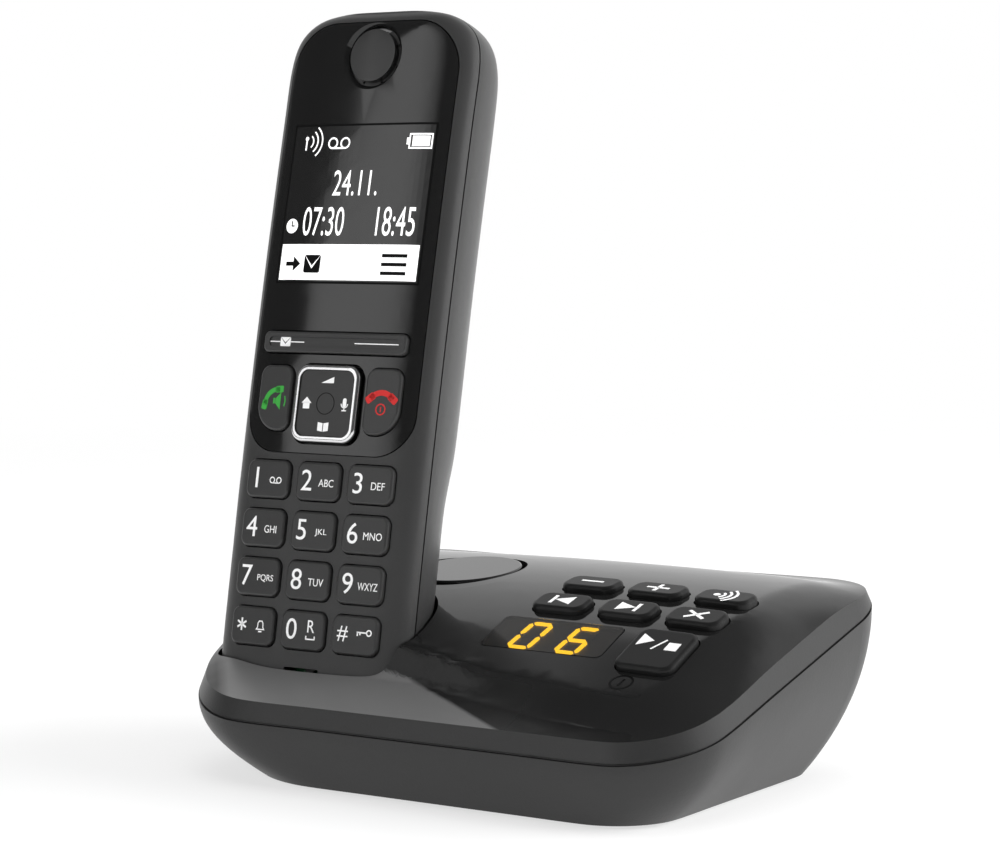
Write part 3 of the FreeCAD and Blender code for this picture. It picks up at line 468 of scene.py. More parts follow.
coverFinish = {  # lines across the top are x, y, heading x, heading y and softness in millimetres
    "gloss": 0.009, "glossRough": 0.055, "haze": 0.03, "dust": 0.2,
    "matte": 0.019, "matteRough": 0.42, "matteShade": 1.4, "matteGrain": 1700.0,
    # the apron's grey level is set far above the black plastic's own colour: a painted sheen standing in for
    # light mirrored there
    "satinPaintedSheen": 0.13, "satinRough": 0.34, "crease": (-10.4, -29.4, -36.0, 17.4, 0.9),
    "leftEnd": (-44.7, -44.7, 9.7, -11.8, 2.5), "pocketSide": (0.0, -24.0, -1.0, 0.0, 2.0),
    "riserEnd": (32.0, -40.0, 0.0, 1.0, 16.0), "riserBack": (0.0, -20.0, -1.0, 0.0, 6.0),
    "riserRough": 0.3, "riserGain": 900.0, "riserStart": 0.35,
    "wallGain": 10.0, "wallStart": -5.2, "bump": 0.00002, "glossBump": 0.08,
}


def riserShare(tree, x, y, z):  # 1 on the riser and the low apron beside the cradle
    spec = coverFinish
    level = (cover["bendZ"] - cover["slopeFront"] * cover["bendY"]) * mm
    below = mathNode(tree, "SUBTRACT", mathNode(tree, "MULTIPLY_ADD", y, cover["slopeFront"], level), z)
    sunk = mathNode(tree, "MULTIPLY_ADD", below, spec["riserGain"], spec["riserStart"], clamp=True)
    sunk = mathNode(tree, "MULTIPLY", sunk, beside(tree, x, y, spec["riserEnd"]))
    return mathNode(tree, "MULTIPLY", sunk, beside(tree, x, y, spec["riserBack"]))


def sheenFacetShare(tree, x, y):  # 1 on the wide flat part of the apron in front of the cradle, where a painted sheen lightens the colour and the roughness is raised
    left = beside(tree, x, y, coverFinish["leftEnd"])
    sheenFacet = mathNode(tree, "MULTIPLY", beside(tree, x, y, coverFinish["crease"]), left)
    return mathNode(tree, "MULTIPLY", sheenFacet, beside(tree, x, y, coverFinish["pocketSide"]))


def topCoverMaterial():  # polished above, grained on the leaning wall, semi-gloss with a painted sheen (a lighter grey colour) on the wide flat part of the apron
    spec = coverFinish
    material, tree, shader = newMaterial("coverFinishesAndPaintedSheen")
    split = tree.nodes.new("ShaderNodeSeparateXYZ")
    tree.links.new(tree.nodes.new("ShaderNodeTexCoord").outputs["Object"], split.inputs[0])
    x, y, z = split.outputs
    facing = tree.nodes.new("ShaderNodeSeparateXYZ")
    tree.links.new(tree.nodes.new("ShaderNodeNewGeometry").outputs["True Normal"], facing.inputs[0])
    share = mathNode(tree, "MULTIPLY_ADD", facing.outputs[2], spec["wallGain"], spec["wallStart"], clamp=True)
    sheenFacet = sheenFacetShare(tree, x, y)
    polish = addGroup(tree, polishGroup, {"Colour": grey(spec["gloss"]), "Roughness": spec["glossRough"],
                                          "Haze": spec["haze"], "Dust Amount": spec["dust"]})
    grain = addGroup(tree, grainGroup, {
        "Colour": grey(spec["matte"]), "Shade": grey(spec["matte"] * spec["matteShade"]),
        "Roughness": spec["matteRough"], "Grain Scale": spec["matteGrain"]})
    # painted sheen: the apron's colour is mixed towards a light grey
    upper = mixColour(tree, sheenFacet, polish.outputs["Colour"], grey(spec["satinPaintedSheen"]))
    tree.links.new(mixColour(tree, share, grain.outputs["Colour"], upper), shader.inputs["Base Color"])
    riser = riserShare(tree, x, y, z)
    upperRough = blendValues(tree, riser, polish.outputs["Roughness"], spec["riserRough"])
    upperRough = blendValues(tree, sheenFacet, upperRough, spec["satinRough"])
    rough = blendValues(tree, share, grain.outputs["Roughness"], upperRough)
    tree.links.new(rough, shader.inputs["Roughness"])
    below = mathNode(tree, "SUBTRACT", 1.0, share)
    coarse = mathNode(tree, "MULTIPLY", grain.outputs["Height"], below)
    fine = mathNode(tree, "MULTIPLY", polish.outputs["Height"], share)
    fine = mathNode(tree, "MULTIPLY", fine, spec["glossBump"])
    addBump(tree, shader, mathNode(tree, "ADD", coarse, fine), spec["bump"])
    return material


smoked = {
    "colour": (0.22, 0.20, 0.18, 1), "dustLevel": 0.2, "dust": 0.1, "rough": 0.03, "haze": 0.03,
    "bump": 0.000001, "ior": 1.49,
}


def smokedGlass():
    spec = smoked
    material, tree, shader = newMaterial("smokedWindow")
    skin = addGroup(tree, polishGroup, {
        "Colour": spec["colour"], "Dust": grey(spec["dustLevel"]), "Dust Amount": spec["dust"],
        "Roughness": spec["rough"], "Haze": spec["haze"]})
    tree.links.new(skin.outputs["Colour"], shader.inputs["Base Color"])
    tree.links.new(skin.outputs["Roughness"], shader.inputs["Roughness"])
    addBump(tree, shader, skin.outputs["Height"], spec["bump"])
    shader.inputs["Transmission Weight"].default_value = 1.0
    shader.inputs["IOR"].default_value = spec["ior"]
    return material


board = {
    "scale": 260.0, "gap": 0.035, "first": (0.010, 0.075, 0.028, 1), "second": (0.012, 0.085, 0.032, 1),
    "track": (0.03, 0.17, 0.06, 1), "rough": 0.3, "grain": 3000.0, "weave": 0.12, "bump": 0.00003,
}


def boardMaterial():  # solder resist over copper tracks, with a fibre weave
    spec = board
    material, tree, shader = newMaterial("circuitBoard")
    coords = tree.nodes.new("ShaderNodeTexCoord").outputs["Object"]
    tracks = tree.nodes.new("ShaderNodeTexBrick")
    tracks.inputs["Scale"].default_value = spec["scale"]
    tracks.inputs["Mortar Size"].default_value = spec["gap"]
    tracks.inputs["Color1"].default_value = spec["first"]
    tracks.inputs["Color2"].default_value = spec["second"]
    tracks.inputs["Mortar"].default_value = spec["track"]
    tree.links.new(coords, tracks.inputs["Vector"])
    grain = addGroup(tree, grainGroup, {"Roughness": spec["rough"], "Grain Scale": spec["grain"]})
    colour = mixColour(tree, spec["weave"], tracks.outputs["Color"], grain.outputs["Colour"])
    tree.links.new(colour, shader.inputs["Base Color"])
    tree.links.new(grain.outputs["Roughness"], shader.inputs["Roughness"])
    addBump(tree, shader, tracks.outputs["Fac"], spec["bump"])
    return material


cells = {
    "wrap": (0.05, 0.22, 0.10, 1), "band": (0.6, 0.6, 0.58, 1), "bandStart": 92.0,
    "rough": 0.25, "bump": 0.00001,
}


def cellMaterial():  # wrapped cells with a pale band round the plus end
    spec = cells
    material, tree, shader = newMaterial("cellWrap")
    coords = tree.nodes.new("ShaderNodeTexCoord").outputs["Object"]
    split = tree.nodes.new("ShaderNodeSeparateXYZ")
    tree.links.new(coords, split.inputs[0])
    band = mathNode(tree, "GREATER_THAN", split.outputs[2], spec["bandStart"] * mm)
    skin = addGroup(tree, polishGroup, {"Roughness": spec["rough"], "Colour": spec["wrap"]})
    colour = mixColour(tree, band, skin.outputs["Colour"], spec["band"])
    tree.links.new(colour, shader.inputs["Base Color"])
    tree.links.new(skin.outputs["Roughness"], shader.inputs["Roughness"])
    addBump(tree, shader, skin.outputs["Height"], spec["bump"])
    return material


finishes = {
    "topCover": topCoverMaterial(),
    "hull": grained("hullGrain", 0.014, 0.42, 1700.0, 0.000022),
    "frontShell": grained("handsetGrain", 0.026, 0.40, 2300.0, 0.000012),
    "backShell": grained("handsetSatin", 0.020, 0.30, 2600.0, 0.000008),
    "panel": polished("panelGloss", 0.009, 0.045),
    "earDisc": polished("earDiscSatin", 0.018, 0.16, 0.05, 0.1),
    "keys": grained("keySatin", 0.024, 0.36, 2600.0, 0.000007),
    "buttons": grained("buttonSatin", 0.007, 0.42, 2600.0, 0.000007, gloss=0.3),
    "speakerCap": polished("capGloss", 0.010, 0.07),
    "window": smokedGlass(),
    "chrome": metal("padChrome", (0.82, 0.82, 0.83, 1), (0.7, 0.7, 0.7, 1), 0.10),
    "steel": metal("screwSteel", (0.55, 0.55, 0.56, 1), (0.35, 0.33, 0.3, 1), 0.28),
    "gold": metal("contactGold", (0.80, 0.58, 0.25, 1), (0.5, 0.36, 0.18, 1), 0.22),
    "rubber": grained("footRubber", 0.030, 0.75, 900.0, 0.00004),
    "board": boardMaterial(),
    "cells": cellMaterial(),
    "socket": grained("socketPlastic", 0.012, 0.35, 2400.0, 0.00001),
    "dome": tinted("domeSheet", (0.18, 0.19, 0.2, 1), (0.24, 0.25, 0.26, 1), 0.6, 1500.0),
    "lcd": polished("displayGlass", 0.02, 0.08),
    "paper": grained("conePaper", 0.05, 0.8, 700.0, 0.00006),
    "magnet": metal("magnetPlate", (0.42, 0.42, 0.43, 1), (0.25, 0.24, 0.22, 1), 0.35),
    "white": tinted("whitePrint", grey(0.92), grey(0.84), 0.42, 3000.0, 0.000002),
    "darkPrint": grained("darkPrint", 0.003, 0.5, 3000.0, 0.000002, gloss=0.1),
    "green": tinted("greenPrint", (0.04, 0.36, 0.045, 1), (0.03, 0.30, 0.04, 1), 0.4, 3000.0, 0.000002),
    "red": tinted("redPrint", (0.60, 0.012, 0.010, 1), (0.5, 0.01, 0.01, 1), 0.4, 3000.0, 0.000002),
    "film": polished("displayFilm", 0.013, 0.05, 0.02, 0.1),
    "lit": tinted("litDisplay", grey(0.8), grey(0.75), 0.3, 3000.0, 0.000001, emission=(grey(1.0), 0.62)),
    "amber": tinted("amberSegment", (0.9, 0.5, 0.05, 1), (0.8, 0.4, 0.04, 1), 0.4, 3000.0, 0.000001,
                    emission=((1.0, 0.60, 0.0, 1), 6.0)),
    "unlit": tinted("unlitSegment", (0.03, 0.025, 0.02, 1), (0.04, 0.03, 0.02, 1), 0.4),
}

nodeFinish = {
    "base_top_cover": "topCover", "base_lower_housing": "hull", "base_circuit_board": "board",
    "base_switches": "socket", "display_window": "window", "digit_block": "socket", "digit_bars": "unlit",
    "loudspeaker_frame": "magnet", "loudspeaker_cone": "paper", "speaker_cap": "speakerCap",
    "line_socket": "socket", "power_socket": "socket", "cradle_contacts": "gold", "housing_screws": "steel",
    "rubber_feet": "rubber", "handset_front_shell": "frontShell", "handset_face_panel": "panel",
    "handset_back_shell": "backShell", "battery_lid": "backShell", "earpiece_disc": "earDisc",
    "earpiece_receiver": "magnet", "handset_circuit_board": "board", "key_dome_sheet": "dome",
    "handset_display": "lcd", "battery_cells": "cells", "microphone": "socket", "ringer_speaker": "magnet",
    "charging_pads": "gold", "nav_frame": "chrome", "nav_post": "socket", "nav_pad": "keys",
    "softkey_bar": "keys", "talk_key": "keys", "end_key": "keys",
}

for name, node in nodes.items():
    finish = nodeFinish.get(name, "buttons" if name.startswith("button_") else "keys")
    node.data.materials.clear()
    node.data.materials.append(finishes[finish])
print("finishes on", len(nodes), "nodes")

printDepth = 0.04


def putMark(plates, name, place, body, finish, low=0.0, depth=printDepth):
    mark = joinPlates(plates, name)
    thicken(mark, depth)
    return settle(mark, place @ Matrix.Translation((0, 0, low)), body, finishes[finish])


plateMakers = {
    "bar": barPlate, "ring": ringPlate, "disc": discPlate, "shape": shapePlate, "rim": outlinePlate,
}


def makePlates(rows, x=0.0, y=0.0):  # one plate for each row, all moved by x and y
    made = []
    for kind, *values in rows:
        plate = plateMakers[kind](*values)
        plate.data.transform(Matrix.Translation((x, y, 0)))
        made.append(plate)
    return made


tape = {"spread": 1.25}


def tapePlates(x, y, radius, stroke):  # two reels with a line under them
    apart = tape["spread"] * radius
    rows = [("ring", radius, radius - stroke, -apart), ("ring", radius, radius - stroke, apart),
            ("bar", 2 * apart, stroke, 0.0, stroke / 2 - radius)]
    return makePlates(rows, x, y)


keyLegend = {
    "pitchW": 13.34, "pitchL": 10.5, "topRow": 53.5, "rise": 0.8, "columns": 3,
    "digitHeight": 4.4, "digitX": -2.85, "digitY": 0.2, "signHeight": 3.2,
    "wordHeight": 1.6, "wordX": 2.25, "wordY": -0.25,
    "narrow": 0.9, "narrowed": {"5": 1.2, "7": 0.98, "9": 0.72},
    "words": {"2": "ABC", "3": "DEF", "4": "GHI", "5": "JKL",
              "6": "MNO", "7": "PQRS", "8": "TUV", "9": "WXYZ"},
    "tapeRadius": 0.72, "tapeStroke": 0.24, "bellLift": 0.4, "keyLift": 1.0,
    "recallHeight": 2.6, "recallY": 1.0,
    "star": [("bar", 2.7, 0.42, 0.0, 0.0, turn) for turn in (30, 90, 150)],
    "bell": [("rim", [(-1.25, -0.9), (1.25, -0.9), (0.85, -0.3), (0.8, 0.55), (0.45, 1.1), (-0.45, 1.1),
                      (-0.8, 0.55), (-0.85, -0.3)], 0.24),
             ("bar", 0.9, 0.3, 0.0, -1.25, 0.0, 0.1)],
    "key": [("ring", 0.72, 0.42, 1.5), ("bar", 2.4, 0.3, -0.35), ("bar", 0.3, 0.8, -1.35, -0.35),
            ("bar", 0.3, 0.6, -0.7, -0.25)],
    "space": [("bar", 2.4, 0.28, 0.0, -1.7), ("bar", 0.28, 0.8, -1.1, -1.4), ("bar", 0.28, 0.8, 1.1, -1.4)],
}


def mainSign(name):  # the large sign at a key's left
    spec = keyLegend
    if name == "star":
        return makePlates(spec["star"], spec["digitX"], spec["digitY"])
    if name == "hash":
        return [wordPlate("#", spec["signHeight"], spec["digitX"], spec["digitY"])]
    return [wordPlate(name, spec["digitHeight"], spec["digitX"], spec["digitY"])]


def sideSign(name):  # the letters or the symbol at a key's right
    spec = keyLegend
    x, y = spec["wordX"], spec["wordY"]
    if name in spec["words"]:
        narrow = spec["narrowed"].get(name, spec["narrow"])
        return [wordPlate(spec["words"][name], spec["wordHeight"], x, y, narrow)]
    if name == "1":
        return tapePlates(x, y, spec["tapeRadius"], spec["tapeStroke"])
    if name == "star":
        return makePlates(spec["bell"], x, y + spec["bellLift"])
    if name == "hash":
        return makePlates(spec["key"], x, y + spec["keyLift"])
    recall = wordPlate("R", spec["recallHeight"], x, spec["recallY"], spec["narrow"])
    return [recall] + makePlates(spec["space"], x)


def keypadLegends():
    spec = keyLegend
    order = ("1", "2", "3", "4", "5", "6", "7", "8", "9", "star", "0", "hash")
    for index, name in enumerate(order):
        row, column = divmod(index, spec["columns"])
        place = facePlace((column - 1) * spec["pitchW"], spec["topRow"] - row * spec["pitchL"])
        plates = mainSign(name) + sideSign(name)
        putMark(plates, "legend_" + name, place, "key_" + name, "white", spec["rise"])


keypadLegends()
print("keypad legends made")

receiver = {
    "outer": 3.3, "inner": 2.35, "start": 40, "sweep": 100,
    "padWidth": 1.9, "padDepth": 1.3, "padX": 2.25, "padY": 1.85, "padTurn": 38, "padCorner": 0.3,
}
callKeys = {
    "w": 14.1, "l": 71.0, "rise": 0.8, "talk": (0.9, -1.4, 42, 1.12), "end": (0, -1.6, 0, 1.25),
    "speaker": [("shape", [(0.5, -1.2), (1.9, -2.6), (1.9, 1.2), (0.5, -0.2)]), ("bar", 0.5, 1.2, 0.15, -0.7),
                ("ring", 3.0, 2.7, 0.3, -0.7, -20, 40)],
    "power": [("ring", 1.25, 0.98, 0, -1.6), ("bar", 0.25, 1.1, 0, -1.6)],
}


def handsetGlyph(x, y, turn, size):  # a receiver seen from its side: a bow with two pads
    spec = receiver
    rows = [("ring", spec["outer"] * size, spec["inner"] * size, 0, 0, spec["start"], spec["sweep"])]
    for side in (-1, 1):
        rows.append(("bar", spec["padWidth"] * size, spec["padDepth"] * size, side * spec["padX"] * size,
                     spec["padY"] * size, -side * spec["padTurn"], spec["padCorner"] * size))
    glyph = joinPlates(makePlates(rows), "glyph")
    glyph.data.transform(Matrix.Translation((x, y, 0)) @ Matrix.Rotation(math.radians(turn), 4, "Z"))
    return glyph


def callGlyphs():
    spec = callKeys
    talk = [handsetGlyph(*spec["talk"])] + makePlates(spec["speaker"])
    putMark(talk, "talkGlyph", facePlace(-spec["w"], spec["l"]), "talk_key", "green", spec["rise"])
    end = [handsetGlyph(*spec["end"])] + makePlates(spec["power"])
    putMark(end, "endGlyph", facePlace(spec["w"], spec["l"]), "end_key", "red", spec["rise"])


padMarks = {
    "l": 70.1, "top": 1.1, "reach": 5.0, "hubOuter": 2.35, "hubInner": 2.2,
    "wedge": [("shape", [(-1.6, -0.6), (1.6, -0.6), (1.6, 0.75)])],
    "home": [("shape", [(-1.3, 0.0), (1.3, 0.0), (0.0, 1.3)]), ("bar", 1.7, 1.3, 0.0, -0.55)],
    "voice": [("bar", 0.95, 1.9, 0.0, 0.35, 0.0, 0.45), ("ring", 0.95, 0.72, 0.0, 0.1, 180, 180),
              ("bar", 0.24, 0.6, 0.0, -1.05), ("bar", 1.2, 0.24, 0.0, -1.35)],
    "book": [("shape", [(-1.4, -0.8), (-0.12, -1.0), (-0.12, 0.8), (-1.4, 1.0)]),
             ("shape", [(0.12, -1.0), (1.4, -0.8), (1.4, 1.0), (0.12, 0.8)])],
}


def padGlyphs():
    spec = padMarks
    reach = spec["reach"]
    plates = makePlates(spec["wedge"], 0.0, reach) + makePlates(spec["home"], -reach)
    plates += makePlates(spec["voice"], reach) + makePlates(spec["book"], 0.0, -reach)
    place = facePlace(0.0, spec["l"])
    putMark(plates, "padGlyphs", place, "nav_tilt", "white", spec["top"])
    hub = ringPlate(spec["hubOuter"], spec["hubInner"])
    putMark([hub], "padHub", place, "nav_tilt", "darkPrint", spec["top"])


softMarks = {
    "l": 83.2, "floor": 0.4, "envelope": (-13.0, 0.0, 2.7, 2.0, 0.22), "flapDip": 0.1, "foldWidth": 1.3,
    "lines": [("bar", 3.5, 0.22, -16.2), ("bar", 3.5, 0.22, -9.8), ("bar", 11.4, 0.22, 11.0)],
}


def envelopePlates(x, y, width, height, stroke):  # a body, and the fold that is laid on it
    middle = y - height * softMarks["flapDip"]
    fold = [(x, middle), (x + width / 2, y + height / 2), (x, middle - stroke * softMarks["foldWidth"]),
            (x - width / 2, y + height / 2)]
    return [barPlate(width, height, x, y, corner=stroke)], [shapePlate(fold)]


def softGlyphs():
    spec = softMarks
    place = facePlace(0.0, spec["l"])
    body, fold = envelopePlates(*spec["envelope"])
    putMark(makePlates(spec["lines"]) + body, "softkeyMarks", place, "softkey_bar", "white", spec["floor"])
    putMark(fold, "softkeyFold", place, "softkey_bar", "darkPrint", spec["floor"] + printDepth)


callGlyphs()
padGlyphs()
softGlyphs()
print("call, pad and softkey marks made")

display = {  # heights along the handset, and how far each layer lies off the face
    "half": 18.3, "low": 96.5, "high": 130.6, "barTop": 104.6, "rim": 0.45, "inset": 0.3, "thick": 0.02,
    "film": 0.05, "border": 0.08, "bar": 0.10, "marks": 0.14, "barMarks": 0.18, "fold": 0.22,
    "shift": 0.5, "inFront": -2.0, "cuts": 2,
    "signal": [("disc", 0.45, -14.9, 127.9), ("bar", 0.4, 2.6, -14.9, 126.6)]
              + [("ring", r, r - 0.33, -14.6, 127.2, -52, 104) for r in (1.7, 2.9, 4.1)],
    "tape": (-6.1, 126.8, 1.3, 0.38),
    "battery": [("rim", [(12.2, 125.3), (18.0, 125.3), (18.0, 128.7), (12.2, 128.7)], 0.35),
                ("bar", 4.3, 2.3, 15.2, 127.0), ("bar", 0.6, 1.5, 11.9, 127.0)],
    "clock": [("disc", 1.6, -16.0, 108.6)],
    "hands": [("bar", 0.3, 1.2, -16.0, 109.1), ("bar", 0.9, 0.3, -15.7, 108.6)],
    "words": [("24.11.", 5.6, -0.4, 118.0, 0.62), ("07:30", 6.3, -7.6, 109.6, 0.56),
              ("18:45", 6.3, 11.3, 109.6, 0.56)],
    "arrow": [("bar", 2.2, 0.9, -15.2, 100.3), ("shape", [(-14.3, 98.7), (-12.4, 100.3), (-14.3, 101.9)])],
    "envelope": (-9.2, 100.3, 4.3, 3.9, 0.5),
    "menu": [("bar", 6.4, 0.75, 12.2, 100.3 + d) for d in (-1.9, 0.0, 1.9)],
}
faceToMark = Matrix((
    (1, 0, 0, display["shift"]),
    (0, 0, -1, display["inFront"]),
    (0, 1, 0, 0),
    (0, 0, 0, 1),
))


def gridPlate(left, right, low, high, cuts=28):
    plate = barPlate(1, 1)
    bpy.ops.object.mode_set(mode="EDIT")
    bpy.ops.mesh.select_all(action="SELECT")
    bpy.ops.mesh.subdivide(number_cuts=cuts)
    bpy.ops.object.mode_set(mode="OBJECT")
    centre = Matrix.Translation(((left + right) / 2, (low + high) / 2, 0))
    plate.data.transform(centre @ Matrix.Diagonal((right - left, high - low, 1, 1)))
    return plate


def layOnFace(plates, name, finish, lift, cuts=0):
    mark = joinPlates(plates, name)
    if cuts:
        bpy.ops.object.mode_set(mode="EDIT")
        bpy.ops.mesh.select_all(action="SELECT")
        bpy.ops.mesh.quads_convert_to_tris()
        bpy.ops.mesh.subdivide(number_cuts=cuts)
        bpy.ops.object.mode_set(mode="OBJECT")
    mark.matrix_world = handsetPlace @ faceToMark
    startFresh()
    mark.select_set(True)
    bpy.context.view_layer.objects.active = mark
    wrap = mark.modifiers.new("on the face", "SHRINKWRAP")
    wrap.target = nodes["handset_face_panel"]
    wrap.wrap_method = "PROJECT"
    wrap.use_project_z = True
    wrap.use_negative_direction = True
    wrap.use_positive_direction = False
    wrap.offset = lift
    bpy.ops.object.modifier_apply(modifier=wrap.name)
    thicken(mark, display["thick"], 0.0)
    return settle(mark, handsetPlace @ faceToMark, "handset", finishes[finish])


def displayGround():  # the dark film, its rim and the light bar along its foot
    spec = display
    half, low, high, rim, inset = spec["half"], spec["low"], spec["high"], spec["rim"], spec["inset"]
    layOnFace([gridPlate(-half, half, low, high)], "displayFilm", "film", spec["film"])
    border = [gridPlate(-half - rim, half + rim, high, high + rim),
              gridPlate(-half - rim, half + rim, low - rim, low),
              gridPlate(-half - rim, -half, low, high), gridPlate(half, half + rim, low, high)]
    layOnFace(border, "displayRim", "darkPrint", spec["border"])
    bar = gridPlate(inset - half, half - inset, low + inset, spec["barTop"])
    layOnFace([bar], "displayBar", "lit", spec["bar"])


def displayPicture():
    spec = display
    lit = makePlates(spec["signal"]) + tapePlates(*spec["tape"]) + makePlates(spec["battery"])
    lit += makePlates(spec["clock"]) + [wordPlate(*word) for word in spec["words"]]
    layOnFace(lit, "displayMarks", "lit", spec["marks"], spec["cuts"])
    arrow = makePlates(spec["arrow"])
    envelope, fold = envelopePlates(*spec["envelope"])
    dark = arrow + envelope + makePlates(spec["menu"]) + makePlates(spec["hands"])
    layOnFace(dark, "displayBarMarks", "darkPrint", spec["barMarks"], spec["cuts"])
    layOnFace(fold, "displayEnvelopeFold", "lit", spec["fold"], spec["cuts"])


displayGround()
displayPicture()
print("display picture laid on the face")

baseMarks = {
    "rise": 1.5, "pitch": 15.82, "leftX": 15.85, "rowsY": (-8.0, 3.15), "rowShift": 0.43,
    "rows": (("previous", "next", "delete"), ("minus", "plus", "page")),
    "play": (46.0, -21.4), "sign": (43.65, -31.3), "signLow": -0.02, "signThick": 0.06,
}
baseShapes = {
    "previous": [("bar", 0.75, 3.6, -2.1), ("shape", [(2.4, -1.8), (2.4, 1.8), (-1.7, 0)])],
    "next": [("bar", 0.75, 3.6, 2.1), ("shape", [(-2.4, -1.8), (1.7, 0), (-2.4, 1.8)])],
    "delete": [("bar", 5.4, 0.75, 0.0, 0.0, 35), ("bar", 5.4, 0.75, 0.0, 0.0, -35)],
    "minus": [("bar", 5.2, 0.75)],
    "plus": [("bar", 5.2, 0.75), ("bar", 0.75, 4.2)],
    "page": [("disc", 0.75, -1.9, -0.2)]
            + [("ring", r, r - 0.55, -1.9, -0.2, -50, 100) for r in (2.0, 3.3, 4.6)],
    "play": [("shape", [(-4.9, 0.3), (-1.6, 2.4), (-4.9, 4.5)]), ("bar", 4.2, 0.4, 0.0, 1.3, 62),
             ("bar", 2.7, 2.7, 3.2, 1.0)],
    "sign": [("ring", 2.53, 2.08), ("bar", 0.45, 2.4, 0.0, 0.0, -8)],
}


def baseGlyphs():
    spec = baseMarks
    for row, names in enumerate(spec["rows"]):
        for column, name in enumerate(names):
            x = spec["leftX"] + column * spec["pitch"] + spec["rowShift"] * row
            place = coverPlace(x, spec["rowsY"][row])
            plates = makePlates(baseShapes[name])
            putMark(plates, "glyph_" + name, place, "button_" + name, "white", spec["rise"])
    play = makePlates(baseShapes["play"])
    putMark(play, "glyph_play", coverPlace(*spec["play"]), "button_play", "white", spec["rise"])
    sign = makePlates(baseShapes["sign"])
    place = coverPlace(*spec["sign"])
    putMark(sign, "chargeSign", place, "base", "darkPrint", spec["signLow"], spec["signThick"])


baseGlyphs()

digits = {
    "windowX": 20.4, "windowY": -19.6, "pitch": 11.25, "width": 5.6, "depth": 10.0, "slant": 0.1,
    "bar": 0.9, "gap": 0.22, "low": -1.3, "thick": 0.3, "shift": 0.3, "shown": "06",
    "segments": "abcdefg", "flat": "agd", "lit": {"0": "abcdef", "6": "acdefg"},
}


def segmentPlate(name, spec):  # one bar of a digit, pointed at both ends
    halfW = spec["width"] / 2 - spec["bar"] / 2
    halfD = spec["depth"] / 2 - spec["bar"] / 2
    centres = {"a": (0, halfD), "g": (0, 0), "d": (0, -halfD), "f": (-halfW, halfD / 2),
               "e": (-halfW, -halfD / 2), "b": (halfW, halfD / 2), "c": (halfW, -halfD / 2)}
    x, y = centres[name]
    flat = name in spec["flat"]
    long = (halfW if flat else halfD / 2) - spec["gap"]
    thin = spec["bar"] / 2
    points = [(-long, 0), (-long + thin, -thin), (long - thin, -thin), (long, 0), (long - thin, thin),
              (-long + thin, thin)]
    if not flat:
        points = [(-b, a) for a, b in points]
    return shapePlate([(x + a + spec["slant"] * (y + b), y + b) for a, b in points])


def digitBars():
    spec = digits
    place = coverPlace(spec["windowX"], spec["windowY"])
    lit, dark = [], []
    for index, sign in enumerate(spec["shown"]):
        shift = Matrix.Translation(((index - 0.5) * spec["pitch"], spec["shift"], 0))
        for name in spec["segments"]:
            plate = segmentPlate(name, spec)
            plate.data.transform(shift)
            (lit if name in spec["lit"][sign] else dark).append(plate)
    bars = putMark(lit, "litSegments", place, "base", "amber", spec["low"], spec["thick"])
    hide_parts("digit_bars")
    putMark(dark, "darkSegments", place, "base", "unlit", spec["low"], spec["thick"])


digitBars()
print("marks on the base made")

stage = {"floorHalf": 6.0, "white": 0.82, "rough": 0.9, "near": 0.30, "far": 1.1, "least": 0.65}


def makeFloor():
    startFresh()
    bpy.ops.mesh.primitive_plane_add(size=2 * stage["floorHalf"], location=(0, 0, 0))
    floor = bpy.context.object
    floor.name = "floor"
    material, tree, shader = newMaterial("paleFloor")
    shader.inputs["Base Color"].default_value = grey(stage["white"])
    shader.inputs["Roughness"].default_value = stage["rough"]
    shader.inputs["Specular IOR Level"].default_value = 0.0
    coords = tree.nodes.new("ShaderNodeTexCoord").outputs["Object"]
    length = tree.nodes.new("ShaderNodeVectorMath")
    length.operation = "LENGTH"
    tree.links.new(coords, length.inputs[0])
    away = tree.nodes.new("ShaderNodeMapRange")
    away.interpolation_type = "SMOOTHSTEP"
    away.inputs["From Min"].default_value = stage["near"]
    away.inputs["From Max"].default_value = stage["far"]
    away.inputs["To Min"].default_value = stage["least"]
    tree.links.new(length.outputs["Value"], away.inputs["Value"])
    seen = tree.nodes.new("ShaderNodeLightPath")
    both = mathNode(tree, "MAXIMUM", seen.outputs["Is Camera Ray"], seen.outputs["Is Glossy Ray"])
    both = mathNode(tree, "MAXIMUM", both, seen.outputs["Is Transmission Ray"])
    plain = tree.nodes.new("ShaderNodeEmission")
    plain.inputs["Strength"].default_value = 1.0
    mix = tree.nodes.new("ShaderNodeMixShader")
    tree.links.new(mathNode(tree, "MULTIPLY", both, away.outputs[0]), mix.inputs[0])
    tree.links.new(shader.outputs[0], mix.inputs[1])
    tree.links.new(plain.outputs[0], mix.inputs[2])
    tree.links.new(mix.outputs[0], tree.nodes["Material Output"].inputs["Surface"])
    floor.data.materials.append(material)


studio = {  # heights are parts of the sky's radius, and turns are degrees from the front
    "dark": 0.09, "above": 0.05, "aboveFrom": 0.5, "aboveTo": 0.8,
    "backdrop": 0.95, "low": 0.65, "high": 0.80, "side": 0.15,
    "panel": 2.1, "panelLeft": 39.5, "panelRight": 9.0, "panelEdge": 0.6,
    "panelFoot": (0.08, 0.2), "panelTop": (0.5, 0.75),
}


def mapped(tree, value, low, high, first=0.0, second=1.0):
    node = tree.nodes.new("ShaderNodeMapRange")
    node.interpolation_type = "SMOOTHSTEP"
    for label, number in (("From Min", low), ("From Max", high), ("To Min", first), ("To Max", second)):
        node.inputs[label].default_value = number
    tree.links.new(value, node.inputs["Value"])
    return node.outputs[0]


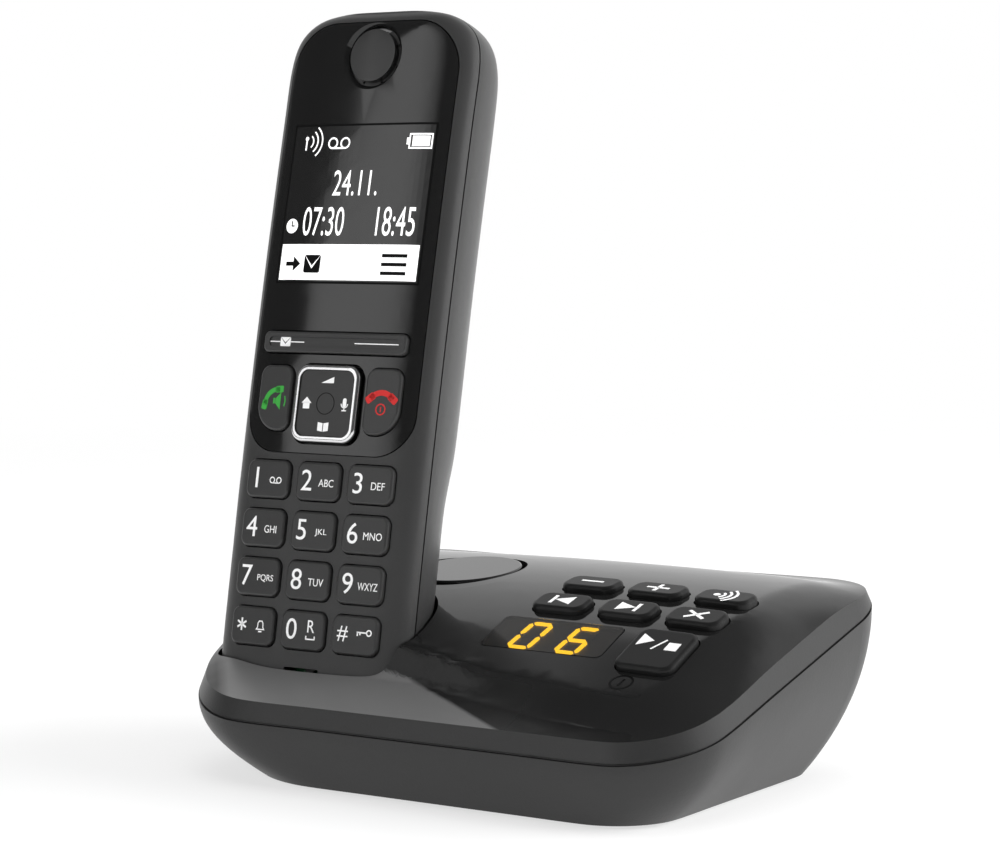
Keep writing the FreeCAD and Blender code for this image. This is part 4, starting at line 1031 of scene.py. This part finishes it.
def makeWorld():  # white backdrop behind, dark above, one broad light panel at the front left
    world = bpy.data.worlds.new("studio")
    scene.world = world
    world.use_nodes = True
    tree = world.node_tree
    tree.nodes.clear()
    split = tree.nodes.new("ShaderNodeSeparateXYZ")
    tree.links.new(tree.nodes.new("ShaderNodeTexCoord").outputs["Generated"], split.inputs[0])
    x, y, z = split.outputs
    spec = studio
    behind = mapped(tree, y, -spec["side"], spec["side"])
    under = mapped(tree, z, spec["low"], spec["high"], 1.0, 0.0)
    backdrop = mathNode(tree, "MULTIPLY", mathNode(tree, "MULTIPLY", behind, under), spec["backdrop"])
    turn = mathNode(tree, "ARCTAN2", mathNode(tree, "MULTIPLY", x, -1.0), mathNode(tree, "MULTIPLY", y, -1.0))
    turn = mathNode(tree, "MULTIPLY", turn, 180 / math.pi)
    rise = mapped(tree, turn, spec["panelRight"], spec["panelLeft"])
    stop = mapped(tree, turn, spec["panelLeft"], spec["panelLeft"] + spec["panelEdge"], 1.0, 0.0)
    lift = mathNode(tree, "MULTIPLY", mapped(tree, z, *spec["panelFoot"]),
                    mapped(tree, z, *spec["panelTop"], 1.0, 0.0))
    panel = mathNode(tree, "MULTIPLY", mathNode(tree, "MULTIPLY", rise, stop), lift)
    dark = mapped(tree, z, spec["aboveFrom"], spec["aboveTo"], spec["dark"], spec["dark"] + spec["above"])
    level = mathNode(tree, "MULTIPLY_ADD", panel, spec["panel"], mathNode(tree, "ADD", backdrop, dark))
    around = tree.nodes.new("ShaderNodeBackground")
    tree.links.new(level, around.inputs["Strength"])
    white = tree.nodes.new("ShaderNodeBackground")
    mix = tree.nodes.new("ShaderNodeMixShader")
    tree.links.new(tree.nodes.new("ShaderNodeLightPath").outputs["Is Camera Ray"], mix.inputs[0])
    tree.links.new(around.outputs[0], mix.inputs[1])
    tree.links.new(white.outputs[0], mix.inputs[2])
    white.inputs["Color"].default_value = grey(1.0)
    output = tree.nodes.new("ShaderNodeOutputWorld")
    tree.links.new(mix.outputs[0], output.inputs[0])


def addLamp(name, spot, target, size, power):
    startFresh()
    bpy.ops.object.light_add(type="AREA", location=spot)
    lamp = bpy.context.object
    lamp.name = name
    lamp.data.shape = "RECTANGLE"
    lamp.data.size, lamp.data.size_y = size
    lamp.data.energy = power
    lamp.visible_glossy = False  # only the studio around is mirrored in the gloss
    aim = Vector(target) - Vector(spot)
    lamp.rotation_euler = aim.to_track_quat("-Z", "Y").to_euler()


lamps = {  # place, aim and size in metres, then power in watts
    "overhead": ((0.0, 0.15, 1.5), (0, 0, 0), (1.6, 1.4), 15.0),
    "right": ((1.35, 0.9, 0.5), (0, 0, 0.05), (1.7, 0.9), 75.0),
    "front": ((-0.3, -1.8, 0.9), (0, 0, 0.05), (1.5, 1.2), 20.0),
}
view = {
    "spot": (0.32269, -0.49995, 0.11580), "tilt": 85.74, "turn": 33.25,
    "sensor": 36.0, "lens": 101.7, "near": 0.01,
}

makeFloor()
makeWorld()
for name, spec in lamps.items():
    addLamp(name, *spec)

startFresh()
aimed = (math.radians(view["tilt"]), 0, math.radians(view["turn"]))
bpy.ops.object.camera_add(location=view["spot"], rotation=aimed)
camera = bpy.context.object
camera.data.sensor_width = view["sensor"]
camera.data.lens = view["lens"]
camera.data.clip_start = view["near"]
scene.camera = camera
scene.view_settings.view_transform = "Standard"
print("stage, lamps and camera set")
